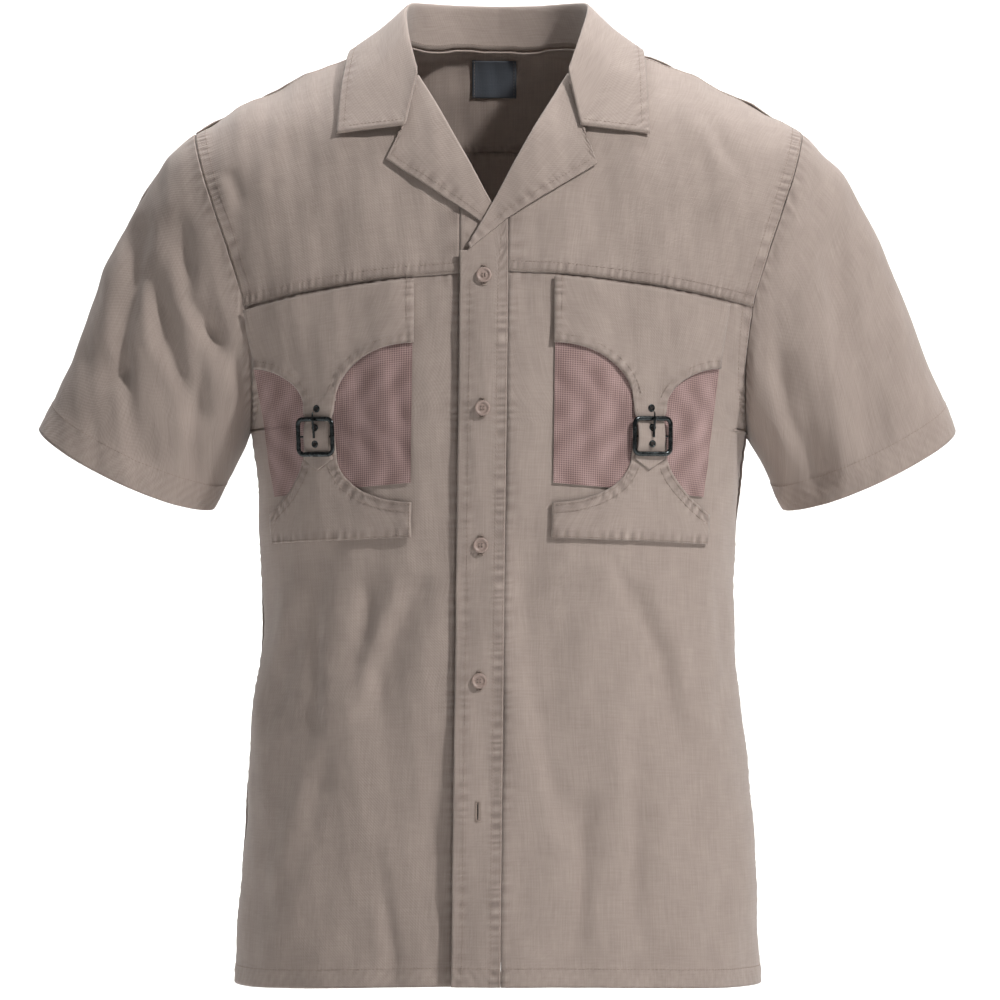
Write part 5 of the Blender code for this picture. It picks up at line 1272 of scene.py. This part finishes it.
def base(hand, side):
    """Panel under the pocket: two arcs that rise to the tongue behind the buckle."""
    turn = np.linspace(0.0, np.pi / 2, 26)
    tongue_left = STRAP_MIDDLE - TONGUE_HALF
    tongue_right = STRAP_MIDDLE + TONGUE_HALF
    in_d = POCKET_IN + (tongue_left - POCKET_IN) * np.sin(turn)
    in_z = TONGUE_FOOT_Z + (BASE_IN_TOP_Z - TONGUE_FOOT_Z) * np.cos(turn)
    share = np.linspace(0.0, 1.0, 26)
    pull_d = tongue_right + 0.0050
    pull_z = TONGUE_FOOT_Z - 0.0240
    out_d = tongue_right * (1 - share) ** 2 + pull_d * 2 * share * (1 - share) + BASE_OUT_TOP * share ** 2
    out_z = TONGUE_FOOT_Z * (1 - share) ** 2 + pull_z * 2 * share * (1 - share) + BASE_OUT_TOP_Z * share ** 2
    tongue_share = np.linspace(-1.0, 1.0, 13)
    places = len(tongue_share)
    high_d = np.concatenate((in_d[:-1], STRAP_MIDDLE + TONGUE_HALF * tongue_share, out_d[1:]))
    high_z = np.concatenate((in_z[:-1], np.full(places, TONGUE_FOOT_Z), out_z[1:]))
    low_d = high_d.copy()
    low_d[-1] = BASE_OUT_LOW
    low_share = (low_d - POCKET_IN) / (BASE_OUT_LOW - POCKET_IN)
    low_z = BASE_IN_LOW_Z + (BASE_OUT_LOW_Z - BASE_IN_LOW_Z) * low_share
    high_x = arc_place(hand, high_d, high_z)
    low_x = arc_place(hand, low_d, low_z)
    rows_up = 26
    up = np.linspace(0.0, 1.0, rows_up + 1)[:, None]
    x = low_x + (high_x - low_x) * up
    z = low_z + (high_z - low_z) * up
    d = low_d + (high_d - low_d) * up
    first = len(in_d) - 1
    last = first + places - 1
    tongue_z = np.linspace(TONGUE_FOOT_Z, TONGUE_TOP_Z, 14)[1:]
    extra_x = np.repeat(x[-1:], len(tongue_z), axis=0)
    extra_z = np.repeat(z[-1:], len(tongue_z), axis=0)
    half = TONGUE_HALF - 0.0025 * np.linspace(0.0, 1.0, 14)[1:]
    extra_z[:, first:last + 1] = tongue_z[:, None]
    extra_x[:, first:last + 1] = arc_place(hand, STRAP_MIDDLE + half[:, None] * tongue_share,
                                           np.repeat(tongue_z[:, None], places, axis=1))
    x = np.concatenate((x, extra_x))
    z = np.concatenate((z, extra_z))
    d = np.concatenate((d, np.repeat(d[-1:], len(extra_x), axis=0)))
    active = np.ones((x.shape[0] - 1, x.shape[1] - 1), dtype=bool)
    active[rows_up:, :first] = False
    active[rows_up:, last:] = False
    in_away, in_along = path_distance(d, z, in_d, in_z)
    out_away, out_along = path_distance(d, z, out_d, out_z)
    edge_away, edge_along = path_distance(d, z, low_d, low_z)
    sewing = (puckers(in_away, in_along, 0.004, 0.0006, 0.005, 0.0060)
              + puckers(out_away, out_along, 0.004, 0.0006, 0.005, 0.0060)
              + puckers(edge_away, edge_along, 0.003, 0.0005, 0.004, 0.0070))
    sewing[rows_up + 1:] = 0.0
    grid, normal = lay_both(hand, x, z, PATCH_OUTER + sewing)
    # The puckers' height is also painted into the cloth's colour: shade in their grooves, light on their
    # ridges.
    cloth_piece("pocket_base_" + side, grid, normal, TWILL, np.clip(sewing / PATCH_PUCKER_FULL, -1, 1),
                thick=PATCH_CLOTH, active=active)
    for inset in (-0.0018, -0.0075):
        sew_path(hand, in_d[:-2], in_z[:-2], inset, PATCH_OUTER)
        sew_path(hand, out_d[3:], out_z[3:], inset, PATCH_OUTER)
    sew_path(hand, low_d, low_z, 0.0015, PATCH_OUTER)
    edge_z = np.linspace(BASE_IN_TOP_Z, BASE_IN_LOW_Z, 10)
    sew_path(hand, np.full(10, POCKET_IN), edge_z, 0.0015, PATCH_OUTER)


def mesh_pocket(hand, side):
    """Patch pocket of mesh: threads stand up on every second line of the grid both ways, with a hole
    between four of them, 1.7 mm from hole to hole."""
    share = np.linspace(0.0, 1.0, 151)
    top_d = MESH_IN + (MESH_OUT_TOP - MESH_IN) * share
    low_d = MESH_IN + (MESH_OUT_LOW - MESH_IN) * share
    low_z = MESH_IN_LOW_Z + (MESH_OUT_LOW_Z - MESH_IN_LOW_Z) * share
    top_x = arc_place(hand, top_d, np.full(top_d.shape, MESH_TOP_Z))
    low_x = arc_place(hand, low_d, low_z)
    top_z = yoke_seam_z(top_x) - (yoke_seam_z(np.array([0.0]))[0] - MESH_TOP_Z)
    down = np.linspace(0.0, 1.0, 151)[:, None]
    x = top_x + (low_x - top_x) * down
    z = top_z + (low_z - top_z) * down
    row_odd = (np.arange(151) % 2)[:, None]
    column_odd = (np.arange(151) % 2)[None, :]
    hole = row_odd * column_odd
    crossing = (1 - row_odd) * (1 - column_odd)
    ripple = 0.0003 * np.sin(share * 31 + 2 * np.sin(down * 9)) * np.sin(down * 14)
    height = MESH_OUTER + 0.00015 * crossing - 0.00045 * hole + np.abs(ripple)
    grid, normal = lay_both(hand, x, z, height)
    # Tone of the mesh: painted shade in the holes, painted light on the raised crossings, and lighter and
    # darker with the ripple.
    painted_shading = 0.5 * crossing - 1.0 * hole + ripple * 900
    cloth_piece("pocket_mesh_" + side, grid, normal, MESH, painted_shading, thick=0)


def tube_rings(path, wide, deep, out, sides, closed):
    """Rings of points round a path: an ellipse, wide in the plane of the path and deep out of it."""
    path = np.asarray(path, dtype=float)
    if closed:
        along = np.roll(path, -1, axis=0) - np.roll(path, 1, axis=0)
    else:
        along = np.gradient(path, axis=0)
    along = unit(along)
    aside = unit(np.cross(along, out))
    up = np.cross(aside, along)
    turn = np.linspace(0.0, 2 * np.pi, sides, endpoint=False)[None, :, None]
    wide = np.broadcast_to(wide, len(path))[:, None, None]
    deep = np.broadcast_to(deep, len(path))[:, None, None]
    return path[:, None] + aside[:, None] * wide * np.cos(turn) + up[:, None] * deep * np.sin(turn)


def tube_faces(rings, sides, closed):
    """Quads between the rings of a tube, and its two ends as fans of quads where it is open."""
    i, j = np.meshgrid(np.arange(rings if closed else rings - 1), np.arange(sides), indexing="ij")
    i, j = i.ravel(), j.ravel()
    after_i, after_j = (i + 1) % rings, (j + 1) % sides
    near, far = i * sides, after_i * sides
    faces = np.stack((near + j, near + after_j, far + after_j, far + j), axis=1)
    if not closed:
        half = np.arange(sides // 2 - 1)
        end = (rings - 1) * sides
        cap = np.stack((half, half + 1, sides - 2 - half, sides - 1 - half), axis=1)
        faces = np.concatenate((faces, cap[:, ::-1], cap + end))
    return faces


def solid_piece(name, parts, material, node):
    """Piece made of one or more closed tubes or turned solids, joined in one mesh."""
    points = np.concatenate([part[0].reshape(-1, 3) for part in parts])
    starts = np.cumsum([0] + [part[0].reshape(-1, 3).shape[0] for part in parts])
    faces = np.concatenate([part[1] + start for part, start in zip(parts, starts)])
    piece = put_mesh(name, points, faces, material)
    work = bmesh.new()
    work.from_mesh(piece.data)
    bmesh.ops.recalc_face_normals(work, faces=work.faces)
    work.to_mesh(piece.data)
    work.free()
    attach(piece, "root")
    if node:
        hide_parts(node)
    return piece


def buckle_axes(hand):
    """Middle of the buckle on the front, and the directions across, up and out of it."""
    x = arc_place(hand, np.array([BUCKLE_MIDDLE]), np.array([BUCKLE_Z]))
    z = np.array([BUCKLE_Z])
    middle = lay(hand, x, z, 0.0)[0]
    across = unit(lay(hand, x + 0.002, z, 0.0)[0] - lay(hand, x - 0.002, z, 0.0)[0])
    up = lay(hand, x, z + 0.002, 0.0)[0] - lay(hand, x, z - 0.002, 0.0)[0]
    up = unit(up - across * np.dot(up, across))
    return middle, across, up, np.cross(across, up)


def buckle(hand, side):
    """Frame whose bars are ellipses in section, its middle bar, and the prong over its top bar."""
    middle, across, up, out = buckle_axes(hand)
    path = []
    for corner_x, corner_y, start in ((1, 1, 0), (-1, 1, 90), (-1, -1, 180), (1, -1, 270)):
        angle = np.radians(start + np.linspace(0, 90, 10))
        x = corner_x * (BUCKLE_HALF_WIDTH - BUCKLE_CORNER) + BUCKLE_CORNER * np.cos(angle)
        y = corner_y * (BUCKLE_HALF_HEIGHT - BUCKLE_CORNER) + BUCKLE_CORNER * np.sin(angle)
        path.append(np.stack((x, y), axis=1))
    flat = np.concatenate(path)
    path = middle + across * flat[:, :1] + up * flat[:, 1:] + out * BUCKLE_STAND
    frame_rings = tube_rings(path, 0.0018, 0.0014, out, 20, True)
    bar = [middle + across * x * BUCKLE_HALF_WIDTH + out * stand
           for x, stand in ((-1.0, BUCKLE_STAND), (-0.93, 0.0052), (-0.84, MIDDLE_BAR_STAND),
                            (0.84, MIDDLE_BAR_STAND), (0.93, 0.0052), (1.0, BUCKLE_STAND))]
    bar_rings = tube_rings(bar, MIDDLE_BAR, MIDDLE_BAR, up, 12, False)
    solid_piece("buckle_frame_" + side, [(frame_rings, tube_faces(len(path), 20, True)),
                                         (bar_rings, tube_faces(len(bar), 12, False))],
                METAL, "buckle_frame_" + side)
    height = np.linspace(PRONG[0][0], PRONG[-1][0], 26)
    stand = read(PRONG, PRONG_COLUMNS, "stand", height)
    radius = PRONG_BAR * (1.15 - 0.55 * ease(height, 0.012, PRONG[-1][0]))
    prong = middle + up * height[:, None] + out * stand[:, None]
    solid_piece("buckle_prong_" + side, [(tube_rings(prong, radius, radius, across, 14, False),
                                          tube_faces(26, 14, False))], METAL, "buckle_prong_" + side)
    rings = []
    holes = []
    for height in EYELET_HEIGHTS:
        z = np.array([height])
        x = arc_place(hand, np.array([STRAP_MIDDLE + 0.0006]), z)
        stand = read(STRAP, STRAP_COLUMNS, "outer", z) + 0.0002
        centre = lay(hand, x, z, stand)[0]
        turn = np.linspace(0, 2 * np.pi, 32, endpoint=False)[:, None]
        loop = centre + EYELET_RADIUS * (across * np.cos(turn) + up * np.sin(turn))
        rings.append((tube_rings(loop, 0.0007, 0.0004, out, 10, True), tube_faces(32, 10, True)))
        # A dark disc in each eyelet, painted shade where the hole goes through the strap.
        inner = np.stack([centre + out * 0.00005 + share * (loop - centre) for share in (0.03, 0.5, 1.0)])
        under = inner[::-1] - out * 0.0003
        holes.append((np.concatenate((inner, under)), tube_faces(6, 32, False)))
    solid_piece("eyelets_" + side, rings, METAL, None)
    solid_piece("eyelet_hole_shade_" + side, holes, HOLE_SHADE, None)


def place_on_front(hand, height, out):
    """Point of the closure at a height, with the directions out of it, up and across."""
    z = np.array([height])
    x = closure(z)
    point = lay(hand, x, z, out)[0]
    normal = unit(lay(hand, x, z, out + 0.01)[0] - point)
    up = unit(np.array([0.0, 0.0, 1.0]) - normal * normal[2])
    return point, normal, up, np.cross(up, normal)


def button(name, hand, height):
    """Sew-through button turned from a rounded profile: a raised rim, a dish and four holes."""
    point, normal, up, across = place_on_front(hand, height, SEAM_GAP)
    profile = np.array(((0.0002, 0.0), (0.0035, 0.0), (0.0050, 0.0003), (0.0057, 0.0009), (0.0058, 0.0016),
                        (0.0054, 0.0022), (0.0048, 0.0024), (0.0042, 0.0022), (0.0038, 0.0017),
                        (0.0034, 0.00145), (0.0028, 0.0014), (0.0024, 0.0016), (0.0018, 0.0016),
                        (0.0002, 0.0015)))
    turn = np.linspace(0, 2 * np.pi, 48, endpoint=False)[None, :, None]
    ring = across * np.cos(turn) + up * np.sin(turn)
    disc = point + ring * profile[:, :1, None] + normal * profile[:, 1:, None]
    solid_piece(name, [(disc, tube_faces(len(profile), 48, False))], RESIN, name)
    # Each of the four holes is a small dark plug in the dish: painted shade inside the hole.
    holes = []
    small = np.linspace(0, 2 * np.pi, 12, endpoint=False)[None, :, None]
    for way_x, way_y in ((1, 1), (-1, 1), (-1, -1), (1, -1)):
        centre = point + (across * way_x + up * way_y) * 0.00105
        levels = np.array(((0.0001, 0.0014), (0.00055, 0.0014), (0.00055, 0.00165), (0.0001, 0.00168)))
        holes.append((centre + (across * np.cos(small) + up * np.sin(small)) * levels[:, :1, None]
                      + normal * levels[:, 1:, None], tube_faces(4, 12, False)))
    solid_piece(name + "_hole_shade", holes, HOLE_SHADE, None)
    for way_x in (-1, 1):
        thread = np.linspace(-0.0013, 0.0013, 7)[:, None]
        path = point + across * way_x * 0.00105 + up * thread + normal * (0.0021 - 180 * thread ** 2)
        buttons_thread.append((tube_rings(path, 0.00028, 0.00028, normal, 8, False), tube_faces(7, 8, False)))


def buttonhole(height):
    """Worked buttonhole: an upright slit between two rows of close stitches, with a bar at each end."""
    _, normal, up, across = place_on_front(LEFT, height, 0.0)
    at = np.linspace(-BUTTONHOLE_HALF, BUTTONHOLE_HALF, 29)[:, None]
    for way in (-1, 1):
        x, z = closure(height + at[:, 0]) + way * 0.00125, height + at[:, 0]
        centre, face = lay_both(LEFT, x, z, 0.0001)
        count = len(centre)
        ahead = np.repeat(across[None], count, axis=0)
        stitches.append(bead_points(centre, ahead, np.cross(face, ahead), face, 0.0019, 0.0009))
    for way in (-1, 1):
        bar_z = np.array([height + way * (BUTTONHOLE_HALF + 0.0004)])
        centre = lay(LEFT, closure(np.array([height])), bar_z, 0.0003)
        stitches.append(bead_points(centre, across[None], up[None], normal[None], 0.0046, 0.0013))
    # The slit is a thin dark tube along the cut: painted shade of its opening.
    slit = np.linspace(-1.0, 1.0, 24)
    x = closure(height + slit * BUTTONHOLE_HALF * 0.92)
    centre, face = lay_both(LEFT, x, height + slit * BUTTONHOLE_HALF * 0.92, 0.0001)
    wide = 0.00055 * np.sqrt(np.clip(1.02 - slit ** 2, 0.02, 1.0))
    slits.append((tube_rings(centre, wide, 0.00018 + 0 * wide, face, 8, False), tube_faces(24, 8, False)))


def sew(points, normals, pitch=STITCH_PITCH, long=STITCH_LONG, wide=STITCH_WIDE):
    """Add one line of stitches to the shirt's sewing."""
    stitches.append(beads(points, normals, pitch, long, wide))


def stitch(grid, normal, lines):
    """Sew lines of stitches at their insets from the edges of a grid."""
    for line in lines:
        sew(*line_at(grid, normal, *line))


def label():
    """Blank woven label inside the back neck, stitched down along both ends."""
    label_x = LABEL_MIDDLE + LABEL_HALF * np.linspace(-1, 1, 30)
    x, z = np.meshgrid(label_x, np.linspace(LABEL_TOP_Z, LABEL_LOW_Z, 30))
    row = row_at(BACK, x, z)
    across = across_share(BACK, x, row)
    near = -CLOTH - 2.5 * SEAM_GAP
    grid = cloth_point(BACK, across, row, near - LABEL_CLOTH)
    normal = -body_normal(BACK, across, row)
    cloth_piece("neck_label", grid, normal, LABEL, thick=LABEL_CLOTH)
    for edge in ("first_column", "last_column"):
        sew(*line_at(grid, normal, edge, 0.0018), pitch=0.0026, long=0.0019, wide=0.0004)


def backdrop():
    """Pale floor that curves up into a wall, as one sheet."""
    turn = np.radians(np.linspace(7, 90, 14))
    curve = np.stack((SWEEP + SWEEP * np.sin(turn), SWEEP - SWEEP * np.cos(turn)), axis=1)
    floor_line = np.array([[FLOOR_FRONT, 0.0], [SWEEP, 0.0]])
    along = np.concatenate((floor_line, curve, np.array([[2 * SWEEP, WALL_TOP]])))
    across = np.array([-FLOOR_HALF, FLOOR_HALF])
    points = np.stack(np.broadcast_arrays(across[None, :], along[:, :1], FLOOR_Z + along[:, 1:]), axis=-1)
    i = np.arange(len(along) - 1)
    faces = np.stack((2 * i, 2 * i + 1, 2 * i + 3, 2 * i + 2), axis=1)
    paper = plain_material("matt_paper", "#f7f6f5", "#fbfbfa", 3.0, 0.95)
    clear_from_behind(paper)
    floor = put_mesh("studio_floor", points, faces, paper)


def clear_from_behind(material):
    """Surface that is seen only from its front, so that a camera behind the wall still sees the shirt."""
    tree = material.node_tree
    behind = add(tree, "ShaderNodeNewGeometry").outputs["Backfacing"]
    clear = add(tree, "ShaderNodeBsdfTransparent").outputs[0]
    mix = add(tree, "ShaderNodeMixShader", {0: behind, 1: tree.nodes["Principled BSDF"].outputs[0], 2: clear})
    tree.links.new(mix.outputs[0], tree.nodes["Material Output"].inputs["Surface"])


def lamp(name, place, size, power, colour, aim=(0.0, 0.0, -0.34)):
    """Square soft lamp turned towards the shirt."""
    data = bpy.data.lights.new(name, "AREA")
    data.size = size
    data.energy = power
    data.color = colour
    item = bpy.data.objects.new(name, data)
    item.location = place
    item.rotation_euler = (Vector(aim) - Vector(place)).to_track_quat("-Z", "Y").to_euler()
    bpy.context.scene.collection.objects.link(item)


def studio():
    """Camera at the photograph's angle, soft light from the upper right, and an even pale surround."""
    scene = bpy.context.scene
    camera = bpy.data.objects.new("camera", bpy.data.cameras.new("camera"))
    camera.data.lens = 138.46
    camera.data.sensor_width = 36.0
    camera.location = (0.0012, -3.0, -0.3432)
    camera.rotation_euler = (math.radians(90), 0.0, 0.0)
    scene.collection.objects.link(camera)
    scene.camera = camera
    lamp("key", (1.9, -1.9, 1.95), 0.28, KEY_POWER, (1.0, 0.99, 0.975))
    lamp("fill", (-1.9, -2.4, 0.4), 1.8, FILL_POWER, (1.0, 1.0, 1.0))
    lamp("top", (0.1, 0.2, 2.2), 1.4, TOP_POWER, (1.0, 1.0, 1.0))
    lamp("backdrop_light", (0.0, 0.6, 1.6), 1.5, BACKDROP_POWER, (1.0, 1.0, 1.0), (0.0, 2.4, -0.3))
    world = bpy.data.worlds.new("studio")
    world.use_nodes = True
    world.node_tree.nodes["Background"].inputs["Color"].default_value = (1.0, 1.0, 1.0, 1.0)
    seen = add(world.node_tree, "ShaderNodeLightPath").outputs["Is Camera Ray"]
    strength = add(world.node_tree, "ShaderNodeMath", {0: seen, 1: WORLD_SEEN - WORLD_LIGHT, 2: WORLD_LIGHT},
                   operation="MULTIPLY_ADD").outputs[0]
    world.node_tree.links.new(strength, world.node_tree.nodes["Background"].inputs["Strength"])
    scene.world = world
    scene.view_settings.view_transform = "Standard"


backdrop()
studio()
TWILL = cloth_material("washed_cotton_twill", "#afa097", "#8b7d76", 0.0016, 0.75, 0.35)
MESH = cloth_material("waffle_mesh", "#cdafab", "#745b58", 0.0010, 0.4, 0.3)
METAL = metal_material("black_nickel_plate")
RESIN = resin_material("polyester_button")
LABEL = cloth_material("woven_label_cloth", "#5a606a", "#43484f", 0.0008, 0.5, 0.3)
THREAD = plain_material("sewing_thread", "#a39389", "#8b7c73", 900.0, 0.8)
# Near-black surface that stands for the shade inside button holes, eyelets and buttonhole slits: painted
# shade.
HOLE_SHADE = plain_material("shaded_hole", "#1c1715", "#2a2320", 400.0, 0.9)
stitches = []
slits = []
buttons_thread = []
for hand, side in ((LEFT, "left"), (RIGHT, "right")):
    front_panel(hand, side)
    front_yoke(hand, side)
    placket(hand, side)
    lapel(hand, side)
    sleeve(hand, side)
    mesh_pocket(hand, side)
    flap(hand, side)
    base(hand, side)
    buckle(hand, side)
back_panel()
back_yoke()
collar_piece()
label()
for number, height in enumerate(BUTTON_HEIGHTS, start=1):
    button("button_%d" % number, LEFT, height)
    buttonhole(height)
button("button_5", RIGHT, UNDER_BUTTON_HEIGHT)
buttonhole(UNDER_BUTTON_HEIGHT)
threads = np.concatenate([one.reshape(-1, 16, 3) for one in stitches])
solid_piece("stitching", [(threads, bead_faces(len(threads)))], THREAD, None)
solid_piece("button_threads", buttons_thread, THREAD, None)
solid_piece("buttonhole_slit_shade", slits, HOLE_SHADE, None)
